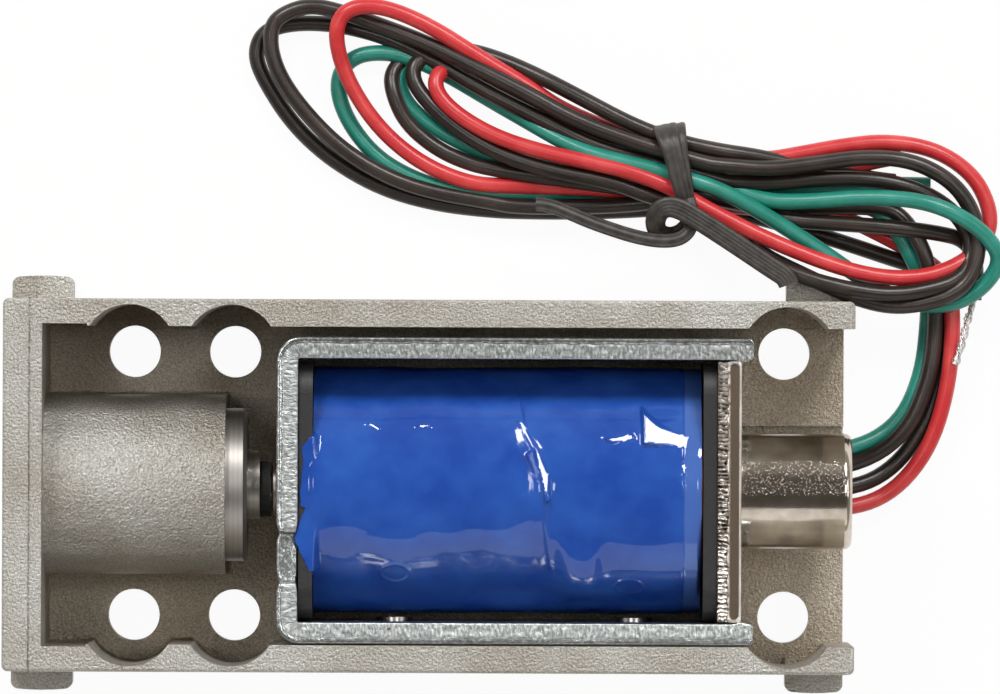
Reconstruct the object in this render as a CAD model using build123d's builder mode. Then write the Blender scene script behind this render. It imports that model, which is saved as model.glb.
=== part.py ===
from build123d import *
from math import pi, radians, tan
import os

# Solenoid bolt lock. A die-cast zinc tray carries a bolt in a round boss and a
# frame solenoid behind it. Current pulls the plunger in, its push rod drives the
# bolt out of the front wall, and the return spring brings both back.
# X runs along the bolt, and the bolt leaves towards -X. Y runs across the tray.
# Z is up, and Z = 0 is the underside that the lock stands on. The origin is under
# the middle of the tray, on the bolt's centre line. All sizes are in millimetres.

os.makedirs("parts", exist_ok=True)

# Tray
tray_length = 68.5
rim_above_frame = 0.5
side_wall = 2.2
front_wall = 3.15
front_relief = 0.18
front_relief_length = 3.6
floor_thick = 3.0
floor_setback = 0.5
floor_fillet = 0.4
tray_corner = 0.5
rim_edge = 0.25
witness_from_front = 2.15
witness_width = 0.18
witness_depth = 0.12

# Mounting holes and the pockets that let a screw head down to the floor
hole_dia = 4.2
hole_from_front = 10.15
hole_mid_pitch = 8.2
hole_long_pitch = 53.0
hole_from_side = 4.25
pocket_radius = 3.8

# Locating lugs along the underside
lug_length = 5.0
lug_rear_length = 4.7
lug_reach = 1.9
lug_height = 4.0
lug_corner = 0.65
lug_crown = 0.15
lug_from_front = 0.15

# Bolt, its boss and the return spring
boss_wall = 1.0
boss_length = 14.65
bolt_dia = 10.0
bolt_shoulder = 1.175
bolt_flange_length = 4.5
bolt_flange_out = 1.75
bolt_edge = 0.8
flange_edge = 0.3
spigot_dia = 5.55
spigot_length = 1.0
bolt_clearance = 0.08
bolt_sunk = 0.2
spring_wire = 0.7
spring_clearance = 0.3
spring_turns = 4.5
seat_gap = 0.15
bolt_travel = 8.0

# Solenoid frame
coil_offset = -0.35
wall_gap = 0.1
strip_thick = 1.75
strip_below_coil = 0.25
frame_length = 38.35
frame_bend = 1.9
frame_end_cut = 0.5
frame_from_boss = 4.2
stake_reach = 0.4
stake_length = 0.85
notch_width = 4.0
notch_depth = 1.3
notch_centre = -5.4
plate_thick = 1.9
plate_below_strip = 0.2
plate_corner = 0.5
plate_edge = 0.3
plate_gap = 0.1

# Coil
bobbin_flange = 1.1
flange_past_coil = 0.35
flange_below_coil = 0.4
bobbin_side_gap = 0.25
bobbin_corner = 2.5
bobbin_wall = 0.8
lead_slot_width = 6.4
lead_slot_depth = 3.2
coil_dia = 20.0
tape_thick = 0.18
tape_lap_high = 4.7
tape_lap_low = 7.0
end_gap = 0.05

# Magnetic circuit
plunger_dia = 9.4
plunger_out = 9.05
plunger_edge = 0.6
tube_wall = 0.3
tube_clearance = 0.07
fit_gap = 0.05
pole_length = 11.9
stub_dia = 4.35
stub_out = 0.5
pole_air_gap = 0.4
rod_dia = 2.5
rod_clearance = 0.1
rod_depth = 4.0
washer_dia = 4.45
washer_gap = 0.08

# Countersunk screws through the lower side wall
screw_pitch = 19.4
screw_dia = 3.0
screw_head_dia = 5.4
screw_head_angle = 90
screw_tip_out = 0.3
screw_clearance = 0.1
recess_reach = 1.5
recess_width = 0.55
recess_depth = 1.1

# Lead wires and the channel under the plunger
wire_dia = 1.3
channel_width = 9.75
channel_depth = 1.6
channel_start = 17.0
hank_base = 0.1
hank_high = 7.2
hank_low = 3.5
hank_gap = 0.3
lead_end_y = 13.85
eye_corner = 0.6
strand_dia = 0.45
tie_width = 1.9
tie_thick = 0.55
tie_gap = 0.15
tie_overlap = 0.1
tail_thick = 0.9
tail_bend = 1.5
knot_dia = 4.4
knot_hole_dia = 1.6

# The coil sets the size of the bobbin, the bobbin that of the frame, and the frame
# that of the tray, which holds it against one side wall
bobbin_width = coil_dia + 2 * flange_past_coil
bobbin_height = coil_dia - 2 * flange_below_coil
frame_width = bobbin_width + 2 * (bobbin_side_gap + strip_thick)
strip_width = coil_dia + 2 * strip_below_coil
plate_height = strip_width - 2 * plate_below_strip
cavity_half = frame_width / 2 - coil_offset + wall_gap
tray_width = 2 * (cavity_half + side_wall)
tray_height = floor_thick + strip_width + rim_above_frame
axis_height = floor_thick + strip_width / 2

# Places along X that several pieces share
front_x = -tray_length / 2
back_x = tray_length / 2
wall_x = front_x + front_wall
boss_end_x = wall_x + boss_length
frame_x = boss_end_x + frame_from_boss
coil_x = frame_x + strip_thick
plate_x = frame_x + frame_length - plate_thick - stake_length - plate_gap
plate_out_x = plate_x + plate_thick
pole_end_x = coil_x + pole_length
plunger_x = pole_end_x + bolt_travel + pole_air_gap
plunger_end_x = plate_out_x + plunger_out
bolt_end_x = boss_end_x + bolt_flange_out
flange_x = bolt_end_x - bolt_flange_length
spigot_end_x = bolt_end_x + spigot_length
bolt_flange_dia = bolt_dia + 2 * bolt_shoulder
bore_dia = bolt_flange_dia + 2 * bolt_clearance
boss_dia = bore_dia + 2 * boss_wall
spring_dia = bore_dia - 2 * spring_clearance
tube_bore = plunger_dia + 2 * tube_clearance
tube_dia = tube_bore + 2 * tube_wall
bobbin_bore = tube_dia + 2 * fit_gap
bobbin_dia = bobbin_bore + 2 * bobbin_wall
winding_dia = coil_dia - 2 * tape_thick
inner_coil_dia = (bobbin_dia + winding_dia) / 2
bobbin_x = coil_x + end_gap
bobbin_end_x = plate_x - end_gap
spool_x = bobbin_x + bobbin_flange
spool_end_x = bobbin_end_x - bobbin_flange
frame_low_y = coil_offset - frame_width / 2
screw_mid_x = frame_x + frame_length / 2
hole_x = front_x + hole_from_front
hole_y = tray_width / 2 - hole_from_side
hole_places = [
    (x, way * hole_y)
    for x in (hole_x, hole_x + hole_mid_pitch, hole_x + hole_long_pitch)
    for way in (1, -1)
]
screw_places = [screw_mid_x - screw_pitch / 2, screw_mid_x + screw_pitch / 2]


def across(x, y=0.0, z=axis_height):
    """A plane square to the bolt at x, with its own x along Y and its own y up."""
    return Plane(origin=(x, y, z), x_dir=(0, 1, 0), z_dir=(1, 0, 0))


def side(x, y):
    """A plane on the lower side wall, facing out of the tray."""
    return Plane(origin=(x, y, axis_height), x_dir=(1, 0, 0), z_dir=(0, -1, 0))


def lug(length, centre_x, way):
    """Outline of one lug: a rounded tab with a slightly crowned end."""
    root_y = way * (tray_width / 2 - side_wall / 2)
    end_y = way * (tray_width / 2 + lug_reach - lug_crown)
    crown_y = way * (tray_width / 2 + lug_reach)
    left, right = centre_x - length / 2, centre_x + length / 2
    with BuildSketch() as outline:
        with BuildLine():
            Polyline((left, end_y), (left, root_y), (right, root_y), (right, end_y))
            ThreePointArc((left, end_y), (centre_x, crown_y), (right, end_y))
        make_face()
        tips = outline.vertices().group_by(Axis.Y)[-1 if way > 0 else 0]
        fillet(tips, lug_corner)
    return outline.sketch


# Tray: one zinc die casting, open at the top and at the rear end
lug_front_x = front_x + lug_from_front + lug_length / 2
lug_rear_x = back_x - floor_setback - lug_rear_length / 2
lug_outlines = [
    lug(length, centre, way)
    for length, centre in ((lug_length, lug_front_x), (lug_rear_length, lug_rear_x))
    for way in (1, -1)
]

with BuildPart() as tray:
    with BuildSketch():
        Rectangle(tray_length, tray_width)
    extrude(amount=tray_height)
    fillet(tray.edges().filter_by(Axis.Z), tray_corner)
    fillet(tray.faces().sort_by(Axis.Z)[-1].outer_wire().edges(), rim_edge)
    # cavity, open at the rear end
    with BuildSketch(Plane.XY.offset(floor_thick)):
        with Locations((wall_x, 0)):
            Rectangle(tray_length, 2 * cavity_half, align=(Align.MIN, Align.CENTER))
        # slightly wider beside the front wall
        with Locations((wall_x, 0)):
            Rectangle(
                front_relief_length,
                2 * (cavity_half + front_relief),
                align=(Align.MIN, Align.CENTER),
            )
    extrude(amount=tray_height, mode=Mode.SUBTRACT)
    # pockets for screw heads, cut into the side walls down to the floor
    with BuildSketch(Plane.XY.offset(floor_thick)):
        with Locations(*hole_places):
            Circle(pocket_radius)
    extrude(amount=tray_height, mode=Mode.SUBTRACT)
    # boss for the bolt, with straight flanks down to the floor so that it leaves the die
    with BuildSketch(across(wall_x)):
        Circle(boss_dia / 2)
        Rectangle(boss_dia, axis_height - floor_thick, align=(Align.CENTER, Align.MAX))
    extrude(amount=boss_length)
    # floor of the front bay meets the walls, the pockets and the boss in a small fillet
    floor_edges = tray.edges().filter_by_position(Axis.Z, floor_thick, floor_thick)
    fillet(floor_edges.filter_by_position(Axis.X, wall_x, boss_end_x), floor_fillet)
    # bore for the flange and the smaller hole for the bolt's nose
    with BuildSketch(across(wall_x)):
        Circle(bore_dia / 2)
    extrude(amount=boss_length, mode=Mode.SUBTRACT)
    with BuildSketch(across(front_x)):
        Circle(bolt_dia / 2 + bolt_clearance)
    extrude(amount=front_wall, mode=Mode.SUBTRACT)
    # floor ends a little short of the side walls
    with BuildSketch():
        with Locations((back_x, 0)):
            Rectangle(floor_setback, 2 * cavity_half, align=(Align.MAX, Align.CENTER))
    extrude(amount=floor_thick, mode=Mode.SUBTRACT)
    # wire channel in the floor, open at the rear end
    with BuildSketch(Plane.XY.offset(floor_thick)):
        with Locations((channel_start, 0)):
            Rectangle(tray_length, channel_width, align=(Align.MIN, Align.CENTER))
    extrude(amount=-channel_depth, mode=Mode.SUBTRACT)
    # mounting holes
    with BuildSketch():
        with Locations(*hole_places):
            Circle(hole_dia / 2)
    extrude(amount=floor_thick, mode=Mode.SUBTRACT)
    # lugs
    with BuildSketch():
        for outline in lug_outlines:
            add(outline)
    extrude(amount=lug_height)
    # countersunk holes for the two screws that hold the solenoid
    for place in screw_places:
        with Locations(side(place, -tray_width / 2)):
            CounterSinkHole(
                screw_dia / 2 + screw_clearance,
                screw_head_dia / 2 + screw_clearance,
                depth=side_wall + screw_clearance,
                counter_sink_angle=screw_head_angle,
            )
    # witness line of the die's slide, round the front end
    with BuildSketch():
        with Locations((front_x + witness_from_front, 0)):
            Rectangle(witness_width, tray_width)
            Rectangle(witness_width, tray_width - 2 * witness_depth, mode=Mode.SUBTRACT)
    extrude(amount=tray_height, mode=Mode.SUBTRACT)
    with BuildSketch(Plane.XY.offset(tray_height)):
        with Locations((front_x + witness_from_front, 0)):
            Rectangle(witness_width, tray_width)
    extrude(amount=-witness_depth, mode=Mode.SUBTRACT)

# Frame: a zinc-plated steel strip bent into a U, its sheared edges up and down
with BuildPart() as frame:
    with BuildSketch(Plane.XY.offset(floor_thick)):
        with Locations((frame_x, coil_offset)):
            Rectangle(frame_length, frame_width, align=(Align.MIN, Align.CENTER))
        fillet(vertices().group_by(Axis.X)[0], frame_bend)
        with Locations((coil_x, coil_offset)):
            Rectangle(
                frame_length,
                frame_width - 2 * strip_thick,
                align=(Align.MIN, Align.CENTER),
                mode=Mode.SUBTRACT,
            )
        chamfer(vertices().group_by(Axis.X)[-1].sort_by(Axis.Y)[-1], frame_end_cut)
        # ends staked inwards over the end plate
        for way in (1, -1):
            inner_y = coil_offset + way * (frame_width / 2 - strip_thick)
            with BuildLine():
                Polyline(
                    (plate_out_x + plate_gap, inner_y + way * strip_thick / 2),
                    (plate_out_x + plate_gap, inner_y),
                    (plate_out_x + plate_gap + stake_length / 3, inner_y - way * stake_reach),
                    (plate_out_x + plate_gap + stake_length * 2 / 3, inner_y - way * stake_reach),
                    (frame_x + frame_length, inner_y + way * strip_thick / 2),
                    close=True,
                )
            make_face()
    extrude(amount=strip_width)
    # hole that the pole piece is staked in
    with BuildSketch(across(frame_x, coil_offset)):
        Circle(stub_dia / 2 + fit_gap)
    extrude(amount=strip_thick, mode=Mode.SUBTRACT)
    # notch in the upper edge of the leg
    with BuildSketch(Plane.XY.offset(floor_thick + strip_width)):
        with Locations((frame_x, coil_offset + notch_centre)):
            Rectangle(strip_thick, notch_width, align=(Align.MIN, Align.CENTER))
    extrude(amount=-notch_depth, mode=Mode.SUBTRACT)
    # tapped holes for the screws
    for place in screw_places:
        with BuildSketch(side(place, frame_low_y)):
            Circle(screw_dia / 2 + fit_gap)
        extrude(amount=-strip_thick, mode=Mode.SUBTRACT)

# End plate: nickel-plated steel, closes the open side of the frame
with BuildPart() as end_plate:
    with BuildSketch(across(plate_x, coil_offset)):
        Rectangle(frame_width - 2 * strip_thick - 2 * plate_gap, plate_height)
        Circle(tube_dia / 2 + fit_gap, mode=Mode.SUBTRACT)
    extrude(amount=plate_thick)
    fillet(end_plate.edges().filter_by(Axis.Z), plate_corner)
    # the punch rolls the edges over on the outer face
    fillet(end_plate.faces().sort_by(Axis.X)[-1].outer_wire().edges(), plate_edge)

# Pole piece: turned steel core, its stub staked in the frame's leg and bored for the rod
with BuildPart() as pole_piece:
    with BuildSketch(across(coil_x, coil_offset)):
        Circle(tube_bore / 2 - fit_gap)
    extrude(amount=pole_length)
    chamfer(pole_piece.edges().group_by(Axis.X)[-1], plunger_edge / 2)
    with BuildSketch(across(frame_x - stub_out, coil_offset)):
        Circle(stub_dia / 2)
    extrude(amount=stub_out + strip_thick)
    fillet(pole_piece.edges().group_by(Axis.X)[0], stub_out / 2)
    with BuildSketch(across(frame_x - stub_out, coil_offset)):
        Circle(rod_dia / 2 + rod_clearance)
    extrude(amount=stub_out + strip_thick + pole_length, mode=Mode.SUBTRACT)

# Guide tube: drawn brass, holds the pole piece and guides the plunger
with BuildPart() as guide_tube:
    with BuildSketch(across(bobbin_x, coil_offset)):
        Circle(tube_dia / 2)
        Circle(tube_bore / 2, mode=Mode.SUBTRACT)
    extrude(amount=plate_out_x - bobbin_x)

# Bobbin: moulded nylon spool with two square flanges
with BuildPart() as bobbin:
    with BuildSketch(across(bobbin_x, coil_offset)):
        Circle(bobbin_dia / 2)
    extrude(amount=bobbin_end_x - bobbin_x)
    for start in (bobbin_x, spool_end_x):
        with BuildSketch(across(start, coil_offset)):
            RectangleRounded(bobbin_width, bobbin_height, bobbin_corner)
        extrude(amount=bobbin_flange)
    with BuildSketch(across(bobbin_x, coil_offset)):
        Circle(bobbin_bore / 2)
    extrude(amount=bobbin_end_x - bobbin_x, mode=Mode.SUBTRACT)
    # slot in the rear flange, where the four leads leave the coil
    with BuildSketch(across(spool_end_x, coil_offset, axis_height - bobbin_height / 2)):
        Rectangle(lead_slot_width, lead_slot_depth, align=(Align.CENTER, Align.MIN))
    extrude(amount=bobbin_flange, mode=Mode.SUBTRACT)

# Windings: enamelled copper, a pull-in coil inside and a holding coil over it
with BuildPart() as inner_winding:
    with BuildSketch(across(spool_x + end_gap, coil_offset)):
        Circle(inner_coil_dia / 2)
        Circle(bobbin_dia / 2 + fit_gap, mode=Mode.SUBTRACT)
    extrude(amount=spool_end_x - spool_x - 2 * end_gap)

with BuildPart() as outer_winding:
    with BuildSketch(across(spool_x + end_gap, coil_offset)):
        Circle(winding_dia / 2 - fit_gap)
        Circle(inner_coil_dia / 2 + fit_gap, mode=Mode.SUBTRACT)
    extrude(amount=spool_end_x - spool_x - 2 * end_gap)

# Coil tape: polyester film round the coil, its edge lapped over the front flange
with BuildPart() as coil_tape:
    with BuildSketch(across(spool_x + end_gap, coil_offset)):
        Circle(coil_dia / 2)
        Circle(winding_dia / 2, mode=Mode.SUBTRACT)
    extrude(amount=spool_end_x - spool_x - 2 * end_gap)
    lap_z = axis_height + bobbin_height / 2 + end_gap
    with BuildSketch(Plane.XY.offset(lap_z)):
        with BuildLine():
            Polyline(
                (bobbin_x, coil_offset + tape_lap_high),
                (bobbin_x, coil_offset - tape_lap_low / 2),
                (spool_x, coil_offset - tape_lap_low),
                (spool_x + bobbin_flange, coil_offset - tape_lap_low / 2),
                (spool_x + bobbin_flange, coil_offset + tape_lap_high / 2),
                (spool_x, coil_offset + tape_lap_high),
                close=True,
            )
        make_face()
    extrude(amount=tape_thick + 2 * end_gap)
    with BuildSketch(across(spool_x, coil_offset)):
        Circle(winding_dia / 2)
    extrude(amount=spool_end_x - spool_x, mode=Mode.SUBTRACT)

# Plunger: nickel-plated steel bar with rounded edges and a socket for the rod
with BuildPart() as plunger:
    with BuildSketch(across(plunger_x, coil_offset)):
        Circle(plunger_dia / 2)
    extrude(amount=plunger_end_x - plunger_x)
    chamfer(plunger.edges().group_by(Axis.X)[0], plunger_edge / 2)
    fillet(plunger.edges().group_by(Axis.X)[-1], plunger_edge)
    with BuildSketch(across(plunger_x, coil_offset)):
        Circle(rod_dia / 2)
    extrude(amount=rod_depth, mode=Mode.SUBTRACT)

# Push rod: stainless pin, from the plunger through the pole piece to the bolt
with BuildPart() as push_rod:
    with BuildSketch(across(spigot_end_x, coil_offset)):
        Circle(rod_dia / 2)
    extrude(amount=plunger_x + rod_depth - spigot_end_x)

# Bump washer: black rubber, between the bolt's spigot and the staked stub
with BuildPart() as bump_washer:
    with BuildSketch(across(spigot_end_x, coil_offset)):
        Circle(washer_dia / 2)
        Circle(rod_dia / 2 + fit_gap, mode=Mode.SUBTRACT)
    extrude(amount=frame_x - stub_out - washer_gap - spigot_end_x)

# Bolt: turned steel, with a round nose, a guiding flange and a small rear spigot
with BuildPart() as bolt:
    with BuildSketch(across(front_x + bolt_sunk)):
        Circle(bolt_dia / 2)
    extrude(amount=flange_x - front_x - bolt_sunk)
    fillet(bolt.edges().group_by(Axis.X)[0], bolt_edge)
    with BuildSketch(across(flange_x)):
        Circle(bolt_flange_dia / 2)
    extrude(amount=bolt_flange_length)
    chamfer(bolt.edges().group_by(Axis.X)[-1], flange_edge)
    with BuildSketch(across(bolt_end_x)):
        Circle(spigot_dia / 2)
    extrude(amount=spigot_length)

# Return spring: round wire coil between the front wall and the bolt's flange
spring_x = wall_x + seat_gap
spring_length = flange_x - seat_gap - spring_x - spring_wire
spring_radius = (spring_dia - spring_wire) / 2
with BuildPart() as return_spring:
    with BuildLine() as coil_line:
        Helix(
            spring_length / spring_turns,
            spring_length,
            spring_radius,
            center=(spring_x + spring_wire / 2, 0, axis_height),
            direction=(1, 0, 0),
        )
    with BuildSketch(Plane(origin=coil_line.line @ 0, z_dir=coil_line.line % 0)):
        Circle(spring_wire / 2)
    sweep(path=coil_line.line, is_frenet=True)

# Screws: M3 countersunk, each through the side wall into the frame's lower arm
screw_length = frame_low_y + strip_thick + screw_tip_out + tray_width / 2
head_depth = (screw_head_dia - screw_dia) / 2 / tan(radians(screw_head_angle / 2))
for number, place in enumerate(screw_places, start=1):
    with BuildPart() as screw:
        with BuildSketch(side(place, -tray_width / 2)):
            Circle(screw_dia / 2)
        extrude(amount=-screw_length)
        with BuildSketch(side(place, -tray_width / 2)):
            Circle(screw_head_dia / 2)
        extrude(amount=-head_depth, taper=screw_head_angle / 2)
        with BuildSketch(side(place, -tray_width / 2)):
            Rectangle(2 * recess_reach, recess_width)
            Rectangle(recess_width, 2 * recess_reach)
        extrude(amount=-recess_depth, mode=Mode.SUBTRACT)
    screw.part.label = f"frame_screw_{number}"
    export_step(screw.part, f"parts/frame_screw_{number}.step")


def corner_radii(points):
    """Each corner's radius: 0.45 of its shorter run over the tangent of half the turn."""
    radii = []
    for before, here, after in zip(points, points[1:], points[2:]):
        run_in = Vector(*here) - Vector(*before)
        run_out = Vector(*after) - Vector(*here)
        shorter = min(run_in.length, run_out.length)
        radii.append(0.45 * shorter / tan(radians(run_in.get_angle(run_out) / 2)))
    return radii


# Leads: PVC hook-up wire, laid in the channel and then up beside the tray to the hank
channel_z = floor_thick - channel_depth + wire_dia / 2 + fit_gap
lead_points = {
    "lead_green": [
        (20.5, 3.1, channel_z),
        (27.3, 2.6, channel_z),
        (34.2, 2.75, channel_z),
        (38.3, 4.9, 0.7),
        (40.2, 9.0, 0.7),
        (40.7, lead_end_y, 0.7),
    ],
    "lead_black_1": [
        (20.5, 1.4, channel_z),
        (27.4, 1.15, channel_z),
        (34.3, 1.4, channel_z),
        (38.8, 4.0, 2.15),
        (40.9, 8.9, 2.15),
        (41.35, lead_end_y, 2.15),
    ],
    "lead_black_2": [
        (20.5, -0.6, channel_z),
        (27.3, -0.2, channel_z),
        (34.1, -0.4, channel_z),
        (37.9, 1.3, 0.85),
        (40.7, 5.2, 0.7),
        (41.9, 9.6, 0.7),
        (42.1, lead_end_y, 0.7),
    ],
    "lead_red": [
        (20.5, -2.2, channel_z),
        (27.2, -1.7, channel_z),
        (34.0, -2.0, channel_z),
        (37.9, -0.6, 1.1),
        (40.9, 3.1, 1.5),
        (42.4, 8.3, 2.05),
        (42.75, lead_end_y, 2.05),
    ],
}
for name, points in lead_points.items():
    radii = corner_radii(points)
    print(name, "radii", [round(radius, 1) for radius in radii])
    with BuildPart() as lead:
        with BuildLine() as route:
            FilletPolyline(*points, radius=radii)
        with BuildSketch(Plane(origin=route.line @ 0, z_dir=route.line % 0)):
            Circle(wire_dia / 2)
        sweep(path=route.line)
    swept = pi * wire_dia**2 / 4 * route.wires()[0].length
    print(name, "volume", round(lead.part.volume, 2), "section times length", round(swept, 2))
    lead.part.label = name
    export_step(lead.part, f"parts/{name}.step")

# Hank: the four wires folded back and forth beside the tray, as one outer shape
hank_outline = [
    (-15.0, 33.6),
    (-12.6, 39.3),
    (-4.4, 40.2),
    (4.4, 36.8),
    (18.0, 29.6),
    (24.0, 28.6),
    (38.5, 29.2),
    (44.4, 26.4),
    (47.0, 20.0),
    (45.9, 16.4),
    (44.1, lead_end_y + hank_gap),
    (39.4, lead_end_y + hank_gap),
    (35.4, 15.4),
    (28.4, 17.2),
    (22.4, 21.7),
    (18.4, 22.7),
    (13.4, 21.4),
    (2.6, 21.8),
    (-5.6, 25.2),
]
hank_corners = [3, 2.5, 4, 9, 6, 4, 5, 5, 2.5, 1.2, 0.5, 0.8, 4, 5, 2.5, 4, 5, 7, 8]
hank_eyes = [
    [(-11.8, 34.4), (-9.6, 36.9), (-4.7, 35.5), (-3.1, 29.9), (0.0, 26.1), (-3.9, 26.6), (-9.4, 30.1)],
    [(2.1, 31.9), (4.1, 31.5), (13.9, 27.3), (9.8, 27.3), (4.6, 28.8)],
    [(38.6, 22.9), (42.6, 22.2), (43.9, 19.2), (42.3, 17.3), (39.6, 17.7), (37.0, 20.2)],
]
tie_centre = (20.1, 25.9)
tie_across = (0.33, 0.94)
tie_place = Plane(
    origin=(*tie_centre, 0), x_dir=(*tie_across, 0), z_dir=(tie_across[1], -tie_across[0], 0)
)
tie_core_width = 6.3
tie_core_low = 0.75
tie_core_high = 6.2
slope_left_x = -20.0
slope_right_x = 36.0
with BuildPart() as wire_hank:
    with BuildSketch(Plane.XY.offset(hank_base)):
        with BuildLine():
            FilletPolyline(*hank_outline, radius=hank_corners, close=True)
        make_face()
        for eye in hank_eyes:
            with BuildLine():
                FilletPolyline(*eye, radius=eye_corner, close=True)
            make_face(mode=Mode.SUBTRACT)
    extrude(amount=hank_high - hank_base)
    # top falls towards the left end, where fewer wires lie on each other
    with BuildSketch(Plane.XZ.offset(-2 * tray_width)):
        with BuildLine():
            Polyline(
                (slope_left_x, hank_low),
                (slope_right_x, hank_high),
                (slope_right_x, 2 * hank_high),
                (slope_left_x, 2 * hank_high),
                close=True,
            )
        make_face()
    extrude(amount=2 * tray_width, mode=Mode.SUBTRACT)
    # underside lifted over the rear lug
    with BuildSketch(Plane.XY.offset(hank_base)):
        with Locations((lug_rear_x, tray_width / 2)):
            Rectangle(
                lug_rear_length + 2 * hank_gap,
                lug_reach + hank_gap,
                align=(Align.CENTER, Align.MIN),
            )
    extrude(amount=lug_height + hank_gap - hank_base, mode=Mode.SUBTRACT)
    # waist that the tie draws in
    with BuildSketch(tie_place.offset(-tie_width / 2 - tie_gap)):
        with Locations((0, tie_core_low)):
            Rectangle(4 * tie_core_width, 4 * hank_high)
            Rectangle(
                tie_core_width,
                tie_core_high - tie_core_low,
                align=(Align.CENTER, Align.MIN),
                mode=Mode.SUBTRACT,
            )
    extrude(amount=tie_width + 2 * tie_gap, mode=Mode.SUBTRACT)

# Twist tie: flat plastic-coated wire, once round the hank, with a hooked knot and two tails
loop_low = tie_core_low - tie_gap
loop_high = tie_core_high + tie_gap
tail_z = loop_high + tie_thick - tie_overlap
knot_centre = (19.9, 21.4)
left_tail = [(20.6, 20.2), (17.6, 19.5), (14.2, 20.6), (8.9, 22.9)]
right_tail = [(19.8, 22.6), (22.6, 20.9), (29.6, 17.0)]
with BuildPart() as twist_tie:
    with BuildSketch(tie_place.offset(-tie_width / 2)):
        with Locations((0, (loop_low + loop_high) / 2)):
            RectangleRounded(
                tie_core_width + 2 * tie_gap + 2 * tie_thick,
                loop_high - loop_low + 2 * tie_thick,
                tie_gap + tie_thick,
            )
            Rectangle(tie_core_width + 2 * tie_gap, loop_high - loop_low, mode=Mode.SUBTRACT)
    extrude(amount=tie_width)
    for tail in (left_tail, right_tail):
        with BuildSketch(Plane.XY.offset(tail_z)):
            with BuildLine():
                FilletPolyline(*tail, radius=tail_bend)
            trace(line_width=tie_width)
        extrude(amount=tail_thick)
    with BuildSketch(Plane.XY.offset(tail_z)):
        with Locations(knot_centre):
            Circle(knot_dia / 2)
            Circle(knot_hole_dia / 2, mode=Mode.SUBTRACT)
    extrude(amount=tail_thick)

# Bare strand: the tinned, twisted end of one wire
strand_points = [(44.5, 13.5, 1.3), (44.1, 11.9, 1.7), (43.3, 10.3, 2.5)]
with BuildPart() as bare_strand:
    with BuildLine() as strand_route:
        FilletPolyline(*strand_points, radius=corner_radii(strand_points))
    with BuildSketch(Plane(origin=strand_route.line @ 0, z_dir=strand_route.line % 0)):
        Circle(strand_dia / 2)
    sweep(path=strand_route.line)

pieces = {
    "tray": tray,
    "frame": frame,
    "end_plate": end_plate,
    "pole_piece": pole_piece,
    "guide_tube": guide_tube,
    "bobbin": bobbin,
    "inner_winding": inner_winding,
    "outer_winding": outer_winding,
    "coil_tape": coil_tape,
    "plunger": plunger,
    "push_rod": push_rod,
    "bump_washer": bump_washer,
    "bolt": bolt,
    "return_spring": return_spring,
    "wire_hank": wire_hank,
    "twist_tie": twist_tie,
    "bare_strand": bare_strand,
}
for name, piece in pieces.items():
    piece.part.label = name
    export_step(piece.part, f"parts/{name}.step")
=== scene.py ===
from math import pi, radians

import bpy
import numpy as np
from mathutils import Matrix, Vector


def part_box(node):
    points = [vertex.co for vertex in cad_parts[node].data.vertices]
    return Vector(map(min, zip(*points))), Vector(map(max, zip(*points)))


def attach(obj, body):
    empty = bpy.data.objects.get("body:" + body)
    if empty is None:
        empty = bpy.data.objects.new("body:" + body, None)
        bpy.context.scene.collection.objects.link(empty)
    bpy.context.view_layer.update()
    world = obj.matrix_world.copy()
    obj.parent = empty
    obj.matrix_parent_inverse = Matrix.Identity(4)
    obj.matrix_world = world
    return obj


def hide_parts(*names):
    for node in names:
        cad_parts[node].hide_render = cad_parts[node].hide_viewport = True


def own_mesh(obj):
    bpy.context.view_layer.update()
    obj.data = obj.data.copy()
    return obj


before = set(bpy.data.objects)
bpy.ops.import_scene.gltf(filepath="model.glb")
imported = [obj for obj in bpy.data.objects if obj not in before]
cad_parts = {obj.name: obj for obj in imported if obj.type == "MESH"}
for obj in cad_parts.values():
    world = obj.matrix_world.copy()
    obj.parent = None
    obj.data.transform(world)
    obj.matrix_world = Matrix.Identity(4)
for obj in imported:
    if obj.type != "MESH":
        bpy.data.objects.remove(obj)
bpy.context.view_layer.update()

# Camera. The photograph looks straight down on the lock from far away, with the
# bolt's nose to the left. Its frame is 1000 pixels wide, and the tray's rim is at
# 12.45 pixels to the millimetre.
MM = 0.001
photo_width = 1000
pixels_per_mm = 12.45
rim_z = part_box("tray")[1][2] / MM
camera_above_rim = 1270.0
view_centre = (5.693, 11.230)
view_turn = 0.00445
sensor_width = 36.0

camera_data = bpy.data.cameras.new("view_from_above")
camera_data.sensor_width = sensor_width
camera_data.lens = sensor_width * pixels_per_mm * camera_above_rim / photo_width
camera_data.clip_start = 0.01
camera_data.clip_end = 20.0
camera = bpy.data.objects.new("view_from_above", camera_data)
camera.location = (view_centre[0] * MM, view_centre[1] * MM, (rim_z + camera_above_rim) * MM)
camera.rotation_euler = (0, 0, view_turn)
bpy.context.collection.objects.link(camera)
bpy.context.scene.camera = camera
bpy.context.scene.view_settings.view_transform = "Standard"


# Four lead wires, stranded hook-up wire in red, green and black PVC. They leave the
# coil under the plunger, lie in the channel of the tray's floor, come out at its rear
# end, turn beside it and are folded back and forth into a hank.
def linear(code):
    """An sRGB hex colour as the linear colour that a shader takes."""
    part = np.array([int(code[i : i + 2], 16) / 255 for i in (1, 3, 5)])
    low = part / 12.92
    high = ((part + 0.055) / 1.055) ** 2.4
    return (*(float(c) for c in np.where(part <= 0.04045, low, high)), 1.0)


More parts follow.
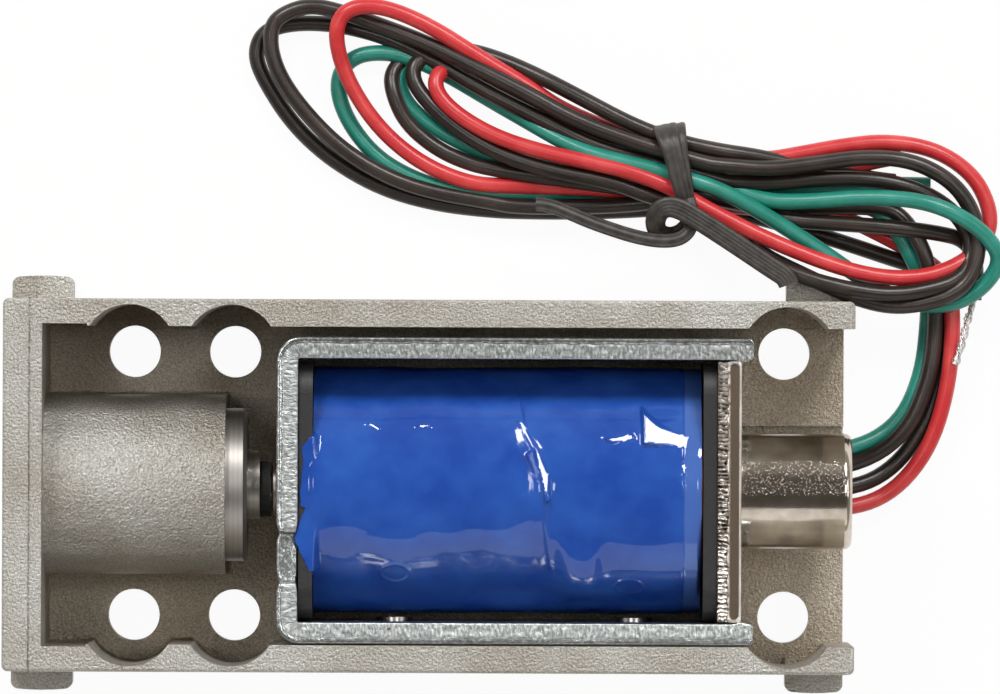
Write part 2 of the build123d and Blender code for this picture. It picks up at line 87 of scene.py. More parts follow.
def add_node(tree, kind, inputs=None, stops=None, **settings):
    """Adds a shader node, sets its properties and fills its sockets with values or links. A
    node among the inputs stands for its first output."""
    made = tree.nodes.new("ShaderNode" + kind)
    for name, value in settings.items():
        setattr(made, name, value)
    for name, value in (inputs or {}).items():
        if isinstance(value, bpy.types.Node):
            value = value.outputs[0]
        if isinstance(value, bpy.types.NodeSocket):
            tree.links.new(value, made.inputs[name])
        else:
            made.inputs[name].default_value = value
    for number, (place, colour) in enumerate(stops or []):
        stop = made.color_ramp.elements[number] if number < 2 else made.color_ramp.elements.new(place)
        stop.position = place
        stop.color = linear(colour)
    return made


def start_material(name):
    """An empty node material and its object coordinates, which are in metres."""
    material = bpy.data.materials.new(name)
    material.use_nodes = True
    material.node_tree.nodes.clear()
    coordinates = add_node(material.node_tree, "TexCoord").outputs["Object"]
    return material, material.node_tree, coordinates


def plastic(name, stops, patch, grain, rough, ior=1.5):
    """Moulded or extruded plastic, or rubber: a plain colour with faint paler patches, and a
    fine grain in its skin. The patch gives a size in millimetres and a detail, and the grain a
    size, a detail, a strength and a depth."""
    material, tree, place = start_material(name)
    size, detail = patch
    patches = add_node(tree, "TexNoise", {"Vector": place, "Scale": 1 / (size * MM), "Detail": detail})
    tint = add_node(tree, "ValToRGB", {"Fac": patches}, stops)
    size, detail, strength, depth = grain
    pores = add_node(tree, "TexNoise", {"Vector": place, "Scale": 1 / (size * MM), "Detail": detail})
    bump = add_node(tree, "Bump", {"Height": pores, "Strength": strength, "Distance": depth * MM})
    look = {"Base Color": tint, "Roughness": rough, "IOR": ior, "Normal": bump}
    add_node(tree, "OutputMaterial", {"Surface": add_node(tree, "BsdfPrincipled", look)})
    return material


# Extruded PVC is satin, with a slight orange-peel skin and a faint dusty bloom.
pvc = {"patch": (3.0, 3.0), "grain": (0.35, 2.0, 0.18, 0.05), "rough": 0.32, "ior": 1.53}
wire_dia = 1.3
lead_z = 2.1
# Each wire's CAD lead, slot, real length in metres and finish, and then its route: points in
# millimetres with their height, from the coil to the free end.
wires = {
    "wire_green": (
        "lead_green",
        "green_pvc",
        0.25,
        plastic("green_pvc", [(0.42, "#1F8473"), (0.72, "#2F9685")], **pvc),
        [
            (20.5, 3.1, lead_z), (27.3, 2.6, lead_z), (34.2, 2.75, lead_z), (38.3, 4.9, 0.7),
            (40.2, 9.0, 0.7), (40.7, 13.85, 0.7), (40.6, 16.0, 1.2), (39.5, 18.3, 2.0), (37.6, 21.7, 2.1),
            (35.7, 23.0, 2.0), (30.9, 23.4, 1.6), (26.6, 23.1, 1.0), (21.6, 23.3, 0.8), (17.3, 23.8, 0.8),
            (11.8, 23.8, 1.0), (7.1, 23.7, 1.5), (4.8, 23.7, 1.8), (1.2, 24.1, 1.7), (-1.8, 25.1, 1.5),
            (-4.5, 26.7, 1.0), (-6.6, 29.2, 0.8), (-7.7, 31.8, 0.7), (-7.5, 33.8, 0.8), (-6.2, 35.0, 0.9),
            (-4.3, 35.3, 1.0), (-2.1, 35.0, 1.3), (1.1, 33.6, 1.7), (4.8, 31.4, 2.2), (7.6, 29.8, 2.9),
            (10.7, 28.0, 4.0), (13.3, 26.9, 4.7), (16.8, 26.1, 5.2), (20.2, 25.2, 5.5), (23.5, 24.2, 5.3),
            (26.6, 22.5, 4.6), (28.9, 21.1, 3.9), (32.2, 19.0, 3.5), (34.9, 17.1, 3.4), (37.3, 15.7, 3.4),
            (40.2, 14.7, 3.4), (43.0, 14.9, 3.2), (45.3, 16.4, 3.4), (46.6, 18.5, 4.0), (45.4, 20.5, 4.9),
            (42.9, 22.3, 5.6), (39.6, 23.4, 5.6), (35.2, 23.6, 4.9), (30.9, 23.2, 4.4), (26.8, 23.2, 3.9),
            (22.1, 25.5, 3.3), (18.8, 25.4, 3.2), (13.4, 25.8, 2.9), (8.7, 26.4, 2.4), (5.5, 26.6, 2.0),
            (2.6, 27.8, 1.9), (0.1, 29.2, 1.6), (-1.9, 30.9, 1.2), (-2.7, 32.6, 0.9), (-2.5, 34.1, 0.7),
            (-1.1, 34.8, 0.7), (0.8, 34.5, 0.7), (3.2, 33.5, 0.7), (6.2, 32.0, 0.7), (10.2, 30.0, 0.7),
            (14.9, 28.0, 0.7), (20.3, 26.2, 0.8), (23.6, 26.0, 1.2), (27.3, 24.3, 1.2), (32.4, 24.3, 1.6),
            (36.7, 24.7, 2.3), (40.8, 24.6, 2.6),
        ],
    ),
    "wire_black_1": (
        "lead_black_1",
        "black_pvc",
        0.264,
        plastic("black_pvc", [(0.42, "#251C18"), (0.72, "#392E29")], **pvc),
        [
            (20.5, 1.4, lead_z), (27.4, 1.15, lead_z), (34.3, 1.4, lead_z), (38.8, 4.0, 2.15),
            (40.9, 8.9, 2.15), (41.35, 13.85, 2.15), (41.0, 16.0, 2.6), (40.4, 19.2, 3.2),
            (38.4, 22.3, 2.5), (36.5, 22.8, 2.3), (31.6, 22.8, 2.6), (26.5, 22.7, 2.8), (21.2, 23.9, 3.0),
            (18.1, 23.1, 2.6), (14.9, 22.8, 2.3), (11.0, 22.7, 2.1), (6.8, 22.7, 2.0), (4.8, 23.1, 2.0),
            (0.4, 23.8, 2.0), (-3.2, 24.9, 2.0), (-6.9, 27.0, 2.0), (-9.8, 29.7, 2.0), (-12.2, 32.8, 2.0),
            (-13.2, 35.4, 2.0), (-13.1, 37.6, 2.0), (-11.7, 38.6, 2.0), (-9.8, 39.1, 2.0),
            (-7.5, 38.6, 2.0), (-4.0, 37.4, 2.2), (-0.3, 36.0, 2.8), (3.3, 34.2, 3.6), (7.9, 31.9, 4.3),
            (11.8, 29.7, 4.7), (16.5, 28.0, 5.1), (20.2, 26.9, 5.3), (22.7, 26.2, 5.2), (24.3, 26.1, 5.0),
            (27.6, 25.8, 4.9), (31.3, 26.3, 4.8), (35.5, 26.9, 4.7), (39.3, 26.6, 4.6), (42.4, 25.0, 4.5),
            (44.1, 22.8, 4.3), (44.8, 20.2, 4.0), (44.4, 17.6, 4.1), (43.1, 15.9, 4.3), (40.4, 14.9, 4.6),
            (37.5, 14.6, 4.7), (34.4, 15.4, 4.7), (30.9, 17.0, 4.5), (26.5, 19.1, 4.1), (23.5, 22.1, 3.6),
            (20.4, 23.2, 3.2), (17.3, 24.1, 3.2), (11.8, 24.8, 3.1), (7.9, 25.3, 2.9), (5.5, 25.7, 2.6),
            (3.1, 26.2, 2.4), (0.4, 27.4, 2.2), (-2.1, 29.5, 2.1), (-3.2, 32.0, 2.0), (-3.3, 33.7, 1.2),
            (-2.1, 34.8, 0.7), (0.1, 35.4, 0.7), (2.6, 35.6, 1.0), (5.5, 34.8, 2.0), (8.7, 33.4, 3.3),
            (11.8, 31.8, 4.0), (16.5, 29.3, 4.5), (20.2, 28.0, 4.6), (23.5, 27.3, 4.6), (26.5, 26.9, 4.0),
            (29.7, 26.2, 3.3), (33.1, 25.6, 3.0), (36.0, 25.1, 2.2), (37.9, 24.9, 2.0),
        ],
    ),
    "wire_black_2": (
        "lead_black_2",
        "black_pvc",
        0.27,
        plastic("black_pvc_newer", [(0.42, "#201814"), (0.72, "#31271F")], **pvc),
        [
            (20.5, -0.6, lead_z), (27.3, -0.2, lead_z), (34.1, -0.4, lead_z), (37.9, 1.3, 0.85),
            (40.7, 5.2, 0.7), (41.9, 9.6, 0.7), (42.1, 13.85, 0.7), (41.9, 16.5, 0.7), (40.9, 17.7, 0.7),
            (38.3, 18.4, 0.7), (35.0, 19.5, 0.7), (31.8, 20.5, 0.7), (27.3, 21.8, 0.7), (22.4, 22.9, 0.8),
            (17.3, 22.5, 0.8), (12.6, 22.3, 0.7), (7.9, 22.3, 0.7), (4.8, 22.4, 0.7), (0.4, 22.9, 0.7),
            (-4.0, 24.1, 0.7), (-8.1, 26.4, 0.7), (-11.3, 29.3, 0.7), (-13.6, 32.8, 0.7),
            (-14.5, 35.0, 0.7), (-13.9, 36.8, 0.7), (-12.2, 37.5, 0.7), (-9.8, 37.7, 0.7),
            (-6.9, 37.4, 0.8), (-3.3, 36.4, 1.2), (0.4, 34.5, 2.0), (4.0, 32.3, 2.9), (9.4, 29.6, 3.7),
            (13.3, 27.6, 4.2), (17.3, 26.6, 4.3), (20.2, 26.0, 4.2), (23.5, 25.0, 4.0), (24.3, 24.8, 3.9),
            (27.7, 24.7, 3.9), (31.6, 25.1, 4.0), (36.0, 25.1, 4.1), (39.5, 24.4, 3.8), (42.4, 22.8, 3.2),
            (44.0, 20.7, 2.9), (44.1, 18.5, 3.1), (43.0, 16.8, 4.2), (40.4, 16.0, 5.0), (37.4, 15.6, 5.5),
            (33.8, 16.1, 5.9), (30.1, 17.1, 5.8), (26.5, 18.8, 5.0), (23.1, 22.2, 4.6), (20.4, 23.0, 4.6),
            (17.7, 23.6, 4.7), (14.9, 24.7, 4.6), (10.2, 25.5, 4.3), (6.8, 26.5, 3.9), (4.1, 27.7, 3.4),
            (1.1, 29.8, 3.0), (-1.0, 32.0, 2.6), (-1.6, 33.4, 2.2), (-1.3, 34.5, 1.9), (0.0, 35.0, 1.6),
            (1.9, 34.2, 1.5), (3.9, 33.2, 1.4), (6.2, 32.0, 1.5), (11.8, 29.6, 1.8), (16.5, 27.5, 2.0),
            (20.2, 26.3, 2.1), (23.5, 24.6, 2.2), (26.5, 22.4, 2.5), (29.9, 21.6, 3.4), (33.8, 21.4, 3.7),
            (38.2, 21.1, 3.7), (41.4, 20.7, 3.0), (43.6, 20.2, 2.0), (44.5, 18.7, 1.5), (44.6, 16.9, 1.4),
            (44.4, 15.3, 1.3),
        ],
    ),
    "wire_red": (
        "lead_red",
        "red_pvc",
        0.249,
        plastic("red_pvc", [(0.42, "#CC2E33"), (0.72, "#DE4A48")], **pvc),
        [
            (20.5, -2.2, lead_z), (27.2, -1.7, lead_z), (34.0, -2.0, lead_z), (37.9, -0.6, 1.1),
            (40.9, 3.1, 1.5), (42.4, 8.3, 2.05), (42.75, 13.85, 2.05), (42.3, 16.9, 1.8),
            (40.6, 18.5, 0.9), (37.5, 20.2, 1.2), (33.8, 22.0, 1.7), (29.8, 22.5, 1.9), (25.8, 22.7, 1.9),
            (21.0, 23.1, 1.9), (16.5, 24.0, 2.0), (11.8, 24.3, 2.3), (6.3, 24.4, 2.4), (3.4, 24.5, 2.4),
            (-0.1, 25.8, 2.3), (-3.1, 27.9, 2.2), (-5.4, 30.5, 2.1), (-7.2, 33.7, 2.4), (-7.9, 36.6, 3.3),
            (-7.4, 38.4, 3.4), (-5.7, 39.1, 3.4), (-3.3, 38.8, 3.4), (0.1, 37.3, 3.5), (4.0, 34.8, 3.4),
            (7.9, 32.5, 3.3), (10.7, 30.6, 3.1), (14.9, 28.9, 3.2), (20.2, 27.4, 3.3), (25.1, 26.9, 3.3),
            (27.3, 26.6, 3.3), (30.1, 27.1, 3.3), (33.2, 27.7, 3.2), (37.0, 28.2, 3.0), (41.1, 27.6, 2.8),
            (44.2, 25.6, 2.7), (45.6, 23.0, 2.5), (45.7, 20.8, 2.4), (44.2, 18.7, 2.9), (41.1, 17.2, 4.2),
            (37.5, 16.9, 4.9), (33.2, 17.8, 5.3), (27.1, 20.2, 5.4), (21.9, 22.9, 5.5), (19.6, 24.3, 5.6),
            (16.2, 25.6, 5.4), (13.0, 26.3, 5.0), (8.9, 27.2, 4.6), (5.4, 28.3, 4.1), (2.5, 29.9, 3.6),
            (0.7, 31.5, 3.3), (0.2, 32.9, 3.0), (0.9, 33.9, 2.3), (2.3, 33.8, 1.4), (4.6, 32.4, 0.8),
            (7.9, 30.2, 0.8), (12.0, 28.0, 0.8), (16.1, 26.6, 0.8), (20.3, 24.8, 0.8), (23.6, 25.6, 1.2),
            (28.0, 24.6, 2.0), (32.4, 25.3, 2.2), (35.7, 26.5, 2.4), (38.3, 26.9, 1.9),
        ],
    ),
}

wire_pieces = {}
for name, (_, _, _, finish, route) in wires.items():
    curve = bpy.data.curves.new(name, "CURVE")
    curve.dimensions = "3D"
    curve.bevel_depth = wire_dia / 2 * MM
    curve.bevel_resolution = 5
    curve.resolution_u = 6
    curve.use_fill_caps = True
    spline = curve.splines.new("NURBS")
    spline.points.add(len(route) - 1)
    for point, place in zip(spline.points, route):
        point.co = (*(c * MM for c in place), 1)
    spline.order_u = 3
    spline.use_endpoint_u = True
    curve.materials.append(finish)
    wire = bpy.data.objects.new(name, curve)
    bpy.context.collection.objects.link(wire)
    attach(wire, "lock_body")
    wire_pieces[name] = wire


# Floor and lamps. The lock lies on a white table. Two strong lamps stand on the wires' side
# and two weak ones over the ends, dim white cards stand beside the nose, the plunger and
# the screws, and the ceiling is dark.
def lamp(name, place, width, height, power):
    """A rectangular lamp that faces the middle of the lock. Its power is in watts."""
    light = bpy.data.lights.new(name, "AREA")
    light.shape = "RECTANGLE"
    light.size = width
    light.size_y = height
    light.energy = power
    thing = bpy.data.objects.new(name, light)
    thing.location = place
    flat = float(np.hypot(place[0], place[1]))
    thing.rotation_euler = (float(np.arctan2(flat, place[2])), 0, float(np.arctan2(place[0], -place[1])))
    thing.visible_camera = False
    bpy.context.collection.objects.link(thing)


def card_power(radiance, width, height):
    """A flat white card of that radiance gives off pi times its area times its radiance."""
    return pi * width * height * radiance


lamp("lamp_left", (-0.36, 0.78, 0.8), 0.3, 0.3, 5.6)
lamp("lamp_right", (0.36, 0.78, 0.8), 0.3, 0.3, 5.6)
lamp("lamp_over_left", (-0.34, 0.12, 1.15), 0.22, 0.22, 1.3)
lamp("lamp_over_right", (0.34, 0.12, 1.15), 0.22, 0.22, 1.3)
lamp("card_nose_side", (-0.8, 0.05, 0.66), 0.5, 0.25, card_power(1.2, 0.5, 0.25))
lamp("card_plunger_side", (0.75, 0.1, 0.72), 0.5, 0.25, card_power(2.4, 0.5, 0.25))
lamp("card_screw_side", (0.0, -0.72, 0.55), 1.2, 0.62, card_power(0.75, 1.2, 0.62))

world = bpy.data.worlds.new("white_studio")
world.use_nodes = True
world_tree = world.node_tree
world_tree.nodes.clear()
path = add_node(world_tree, "LightPath")
direction = add_node(world_tree, "TexCoord").outputs["Generated"]
height = add_node(world_tree, "SeparateXYZ", {"Vector": direction}).outputs["Z"]
walls = add_node(
    world_tree,
    "ValToRGB",
    {"Fac": height},
    [(0.0, "#A9A49D"), (0.45, "#938E88"), (0.75, "#66625E"), (1.0, "#4C4946")],
)
room = add_node(world_tree, "Background", {"Color": walls, "Strength": 1.0})
white = add_node(world_tree, "Background", {"Color": (1, 1, 1, 1), "Strength": 1.0})
seen = add_node(world_tree, "MixShader", {0: path.outputs["Is Camera Ray"], 1: room, 2: white})
add_node(world_tree, "OutputWorld", {"Surface": seen})
bpy.context.scene.world = world

floor_half = 3.0
floor_mesh = bpy.data.meshes.new("table")
floor_mesh.from_pydata(
    [
        (-floor_half, -floor_half, 0), (floor_half, -floor_half, 0), (floor_half, floor_half, 0),
        (-floor_half, floor_half, 0),
    ],
    [],
    [(0, 1, 2, 3)],
)
floor = bpy.data.objects.new("table", floor_mesh)
bpy.context.collection.objects.link(floor)
floor_paint, tree, place = start_material("white_table_paint")
path = add_node(tree, "LightPath")
shade = add_node(tree, "BsdfDiffuse", {"Color": linear("#F2F0EE")})
glow = add_node(tree, "Emission", {"Color": (1, 1, 1, 1), "Strength": 1.0})
shown = add_node(tree, "Math", {0: path.outputs["Is Camera Ray"], 1: 0.95}, operation="MULTIPLY")
mirrored = add_node(tree, "Math", {0: path.outputs["Is Glossy Ray"], 1: 0.6}, operation="MULTIPLY")
both = add_node(tree, "Math", {0: shown, 1: mirrored}, operation="MAXIMUM")
surface = add_node(tree, "MixShader", {0: both, 1: shade, 2: glow})
add_node(tree, "OutputMaterial", {"Surface": surface})
floor_mesh.materials.append(floor_paint)


# Tray. One die casting in zinc, open at the top and the rear, with the round boss for
# the bolt, pockets for the fixing screws and lugs at its corners. Its skin is as cast
# and tumbled: warm grey, finely pitted, brighter on the outer edges.
side_wall_y = 14.2
insert_x = -32.2


def cast_zinc():
    """Tumbled zinc casting: dull warm grey metal whose skin is a fine orange peel of pits
    and grains 0.16 to 0.24 mm wide, which sparkle where they face a lamp. Inside the
    tray it is warmer and a little brighter towards the bottom, painted light that lifts
    the dim floors, and a die insert has left a step along the front wall's top."""
    material, tree, place = start_material("tumbled_zinc_casting")
    peel = add_node(
        tree, "TexNoise", {"Vector": place, "Scale": 1 / (0.24 * MM), "Detail": 3.0, "Roughness": 0.5}
    )
    grains = add_node(
        tree, "TexNoise", {"Vector": place, "Scale": 1 / (0.16 * MM), "Detail": 2.0, "Roughness": 0.6}
    )
    cloud = add_node(tree, "TexNoise", {"Vector": place, "Scale": 1 / (7.0 * MM), "Detail": 4.0})
    where = add_node(tree, "SeparateXYZ", {"Vector": place})
    # Painted light: deep in the tray, away from its outer sides, the tint turns warmer and brighter to lift
    # the dim floors.
    deep = add_node(
        tree, "MapRange", {"Value": where.outputs["Z"], "From Min": 2 * MM, "From Max": 22 * MM}
    )
    side = add_node(tree, "Math", {0: where.outputs["Y"]}, operation="ABSOLUTE")
    outside = add_node(
        tree,
        "MapRange",
        {"Value": side, "From Min": side_wall_y * MM, "From Max": (side_wall_y + 0.4) * MM},
    )
    clear_of_painted_lift = add_node(tree, "Math", {0: deep, 1: outside}, operation="MAXIMUM")
    painted_floor_lift = add_node(tree, "ValToRGB", {"Fac": clear_of_painted_lift}, [(0.1, "#FCF3E8"), (0.9, "#EDEDED")])
    tint = add_node(
        tree, "ValToRGB", {"Fac": grains}, [(0.34, "#B5B3AC"), (0.5, "#CBC9C2"), (0.64, "#E2E0DA")]
    )
    stain = add_node(tree, "ValToRGB", {"Fac": cloud}, [(0.32, "#E4DFD8"), (0.66, "#FFFFFF")])
    stain_and_painted_lift = add_node(
        tree, "MixRGB", {"Fac": 1.0, "Color1": stain, "Color2": painted_floor_lift}, blend_type="MULTIPLY"
    )
    colour = add_node(tree, "MixRGB", {"Fac": 1.0, "Color1": tint, "Color2": stain_and_painted_lift}, blend_type="MULTIPLY")
    step = add_node(
        tree,
        "MapRange",
        {"Value": where.outputs["X"], "From Min": insert_x * MM, "From Max": (insert_x + 0.15) * MM},
        interpolation_type="SMOOTHSTEP",
    )
    insert = add_node(tree, "Bump", {"Height": step, "Strength": 1.0, "Distance": 0.06 * MM})
    fine = add_node(
        tree, "Bump", {"Height": grains, "Strength": 0.8, "Distance": 0.1 * MM, "Normal": insert}
    )
    bump = add_node(tree, "Bump", {"Height": peel, "Strength": 0.9, "Distance": 0.2 * MM, "Normal": fine})
    shader = add_node(
        tree, "BsdfPrincipled", {"Base Color": colour, "Metallic": 0.7, "Roughness": 0.42, "Normal": bump}
    )
    add_node(tree, "OutputMaterial", {"Surface": shader})
    return material


def dress(node, material):
    """Gives a CAD piece its material."""
    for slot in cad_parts[node].material_slots:
        slot.material = material


def soften(node, width):
    """Rounds a CAD piece's sharp edges by a width in millimetres, as tumbling does."""
    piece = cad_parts[node]
    weld = piece.modifiers.new("weld", "WELD")
    weld.merge_threshold = 0.002 * MM
    bevel = piece.modifiers.new("rounding", "BEVEL")
    bevel.width = width * MM
    bevel.segments = 2
    bevel.limit_method = "ANGLE"
    bevel.angle_limit = radians(38)
    bevel.harden_normals = True


dress("tray", cast_zinc())
soften("tray", 0.14)


# Bobbin. A black nylon spool with square flanges, seen as two black bands beside the
# coil, which is wound with enamelled copper wire under the film.
def ridged_metal(name, stops, pitch, wander, relief, metallic, rough):
    """Metal in even ridges across its length: wound turns or a tool's rings. The pitch is in
    millimetres, the wander a distortion and a detail, and the relief a strength and a depth."""
    material, tree, place = start_material(name)
    wave = {"Vector": place, "Scale": 1 / (pitch * MM) / 6.28, "Distortion": wander[0], "Detail": wander[1]}
    ridges = add_node(tree, "TexWave", wave, bands_direction="X").outputs["Fac"]
    tint = add_node(tree, "ValToRGB", {"Fac": ridges}, stops)
    bump = add_node(tree, "Bump", {"Height": ridges, "Strength": relief[0], "Distance": relief[1] * MM})
    look = {"Base Color": tint, "Metallic": metallic, "Roughness": rough, "Normal": bump}
    add_node(tree, "OutputMaterial", {"Surface": add_node(tree, "BsdfPrincipled", look)})
    return material


# Moulded nylon is black and satin, with a fine spark-eroded grain.
nylon_stops = [(0.35, "#161516"), (0.7, "#2A2828")]
dress("bobbin", plastic("black_nylon", nylon_stops, (0.12, 2.0), (0.12, 2.0, 0.3, 0.03), 0.48, 1.53))
# Enamelled copper wire in close turns 0.25 mm apart is dark brown, glossy and ribbed.
copper_stops = [(0.1, "#1E0F0B"), (0.8, "#4A2415")]
copper = ridged_metal("enamelled_copper", copper_stops, 0.25, (0.3, 2.0), (1.0, 0.1), 0.8, 0.3)
dress("inner_winding", copper)
dress("outer_winding", copper)


# Solenoid frame. A zinc-plated steel strip, sheared to width and bent into a U round
# the coil. The sheared edges look up: a smooth rolled band outside and a rough, bright
# fracture inside, with a notch in the leg and the ends staked over the end plate.
def lattice_noise(u, v, seed, cells=64):
    """Smooth random field from -1 to 1: seeded numbers on a repeating square lattice,
    blended between the four nearest by smooth steps. u and v count lattice cells."""
    numbers = np.random.default_rng(seed).uniform(-1, 1, (cells, cells))
    i, j = np.floor(u).astype(int), np.floor(v).astype(int)
    a, b = u - i, v - j
    a, b = a * a * (3 - 2 * a), b * b * (3 - 2 * b)
    low = numbers[i % cells, j % cells] * (1 - a) + numbers[(i + 1) % cells, j % cells] * a
    high = numbers[i % cells, (j + 1) % cells] * (1 - a) + numbers[(i + 1) % cells, (j + 1) % cells] * a
    return low * (1 - b) + high * b


def run_along(line):
    """The distance along a line from its start to each of its points."""
    return np.concatenate([[0], np.cumsum(np.linalg.norm(np.diff(line, axis=0), axis=1))])


def skin(name, rings, closed=False, material=None, sharp=40, marks=None):
    """A mesh over a grid of points in millimetres: each row is a closed ring, and the rows
    follow each other. The ends are capped, or joined where the surface closes on itself.
    Marks are three numbers for each point, which its material reads."""
    rows, around = rings.shape[:2]
    index = np.arange(rows * around).reshape(rows, around)
    if closed:
        index = np.vstack([index, index[:1]])
    a, b = index[:-1], index[1:]
    quads = np.stack([a, np.roll(a, -1, 1), np.roll(b, -1, 1), b], axis=-1).reshape(-1, 4)
    points = rings.reshape(-1, 3) * MM
    corners = points[quads]
    volume = np.einsum("ij,ij->i", corners[:, 0], np.cross(corners[:, 1], corners[:, 2])).sum()
    volume += np.einsum("ij,ij->i", corners[:, 0], np.cross(corners[:, 2], corners[:, 3])).sum()
    faces = [tuple(face) for face in quads.tolist()]
    if not closed:
        faces += [tuple(index[0][::-1].tolist()), tuple(index[-1].tolist())]
    if volume < 0:
        faces = [face[::-1] for face in faces]
    mesh = bpy.data.meshes.new(name)
    mesh.from_pydata(points.tolist(), [], faces)
    mesh.polygons.foreach_set("use_smooth", np.ones(len(mesh.polygons), bool))
    mesh.set_sharp_from_angle(angle=radians(sharp))
    if marks is not None:
        mesh.attributes.new("marks", "FLOAT_VECTOR", "POINT").data.foreach_set("vector", marks.ravel())
    if material:
        mesh.materials.append(material)
    piece = bpy.data.objects.new(name, mesh)
    bpy.context.collection.objects.link(piece)
    return piece


def zinc_plate():
    """Bright zinc plating on steel: cool silver. The torn part of the sheared edge is frosted
    and hatched with fine tears across the strip, the rest is smoother, and a few rust
    freckles show where the plating is thin. The marks give the place along the strip, the
    depth from its outer face, and how torn it is."""
    material, tree, place = start_material("bright_zinc_plating")
    marks = add_node(tree, "Attribute", attribute_name="marks")
    part = add_node(tree, "SeparateXYZ", {"Vector": marks.outputs["Vector"]})
    hatched = add_node(
        tree, "Mapping", {"Vector": marks.outputs["Vector"], "Scale": (1 / 0.24, 1 / 0.5, 0.0)}
    )
    tears = add_node(tree, "TexNoise", {"Vector": hatched, "Scale": 1.0, "Detail": 3.0})
    frost = add_node(tree, "TexNoise", {"Vector": place, "Scale": 1 / (0.3 * MM), "Detail": 4.0})
    grain = add_node(tree, "MixRGB", {"Fac": part.outputs["Z"], "Color1": frost, "Color2": tears})
    tint = add_node(
        tree, "ValToRGB", {"Fac": grain}, [(0.3, "#858A89"), (0.5, "#ADB1B0"), (0.68, "#DDE0DF")]
    )
    shine = add_node(tree, "MapRange", {"Value": part.outputs["Z"], "To Min": 0.22, "To Max": 0.4})
    freckles = add_node(tree, "TexNoise", {"Vector": place, "Scale": 1 / (1.1 * MM), "Detail": 4.0})
    rust = add_node(tree, "ValToRGB", {"Fac": freckles}, [(0.74, "#FFFFFF"), (0.79, "#7A5138")])
    colour = add_node(tree, "MixRGB", {"Fac": 1.0, "Color1": tint, "Color2": rust}, blend_type="MULTIPLY")
    rough = add_node(tree, "MapRange", {"Value": part.outputs["Z"], "To Min": 0.08, "To Max": 1.0})
    bump = add_node(tree, "Bump", {"Height": grain, "Strength": rough, "Distance": 0.14 * MM})
    shader = add_node(
        tree,
        "BsdfPrincipled",
        {"Base Color": colour, "Metallic": 0.9, "Roughness": shine, "Normal": bump},
    )
    add_node(tree, "OutputMaterial", {"Surface": shader})
    return material


frame_low, frame_high = (np.array(corner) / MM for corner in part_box("frame"))
strip_thick = 1.75
bend_radius = 1.9
strip_bottom, strip_top = frame_low[2], frame_high[2]
notch_width = 4.0
notch_depth = 1.3
notch_y = -5.75
stake_reach = 0.16
edge_lean = 0.14
stake_x = frame_high[0] - 0.95
end_round = 0.3
rolled_band = 0.5
roll_radius = 0.22
notch_round = 0.35
waist_depth = 0.22
burr_size = 0.12


def u_path(step=0.11):
    """The strip's outer line and outward normals: arm, quarter circle, leg, quarter circle, arm."""
    x0, x1 = frame_low[0], frame_high[0]
    y0, y1 = frame_low[1], frame_high[1]
    arm = np.arange(x1, x0 + bend_radius, -step)
    leg = np.arange(y1 - bend_radius, y0 + bend_radius, -step / 2)
    turn = np.linspace(0, pi / 2, 16)
    upper = np.stack([arm, np.full_like(arm, y1)], 1)
    upper_normal = np.tile([0.0, 1.0], (len(arm), 1))
    first = np.stack([-np.sin(turn), np.cos(turn)], 1)
    first_place = first * bend_radius + [x0 + bend_radius, y1 - bend_radius]
    side = np.stack([np.full_like(leg, x0), leg], 1)
    side_normal = np.tile([-1.0, 0.0], (len(leg), 1))
    second = np.stack([-np.cos(turn), -np.sin(turn)], 1)
    second_place = second * bend_radius + [x0 + bend_radius, y0 + bend_radius]
    lower = np.stack([arm[::-1], np.full_like(arm, y0)], 1)
    lower_normal = np.tile([0.0, -1.0], (len(arm), 1))
    place = np.vstack([upper, first_place, side[1:], second_place, lower[1:]])
    normal = np.vstack([upper_normal, first, side_normal[1:], second, lower_normal[1:]])
    return place, normal


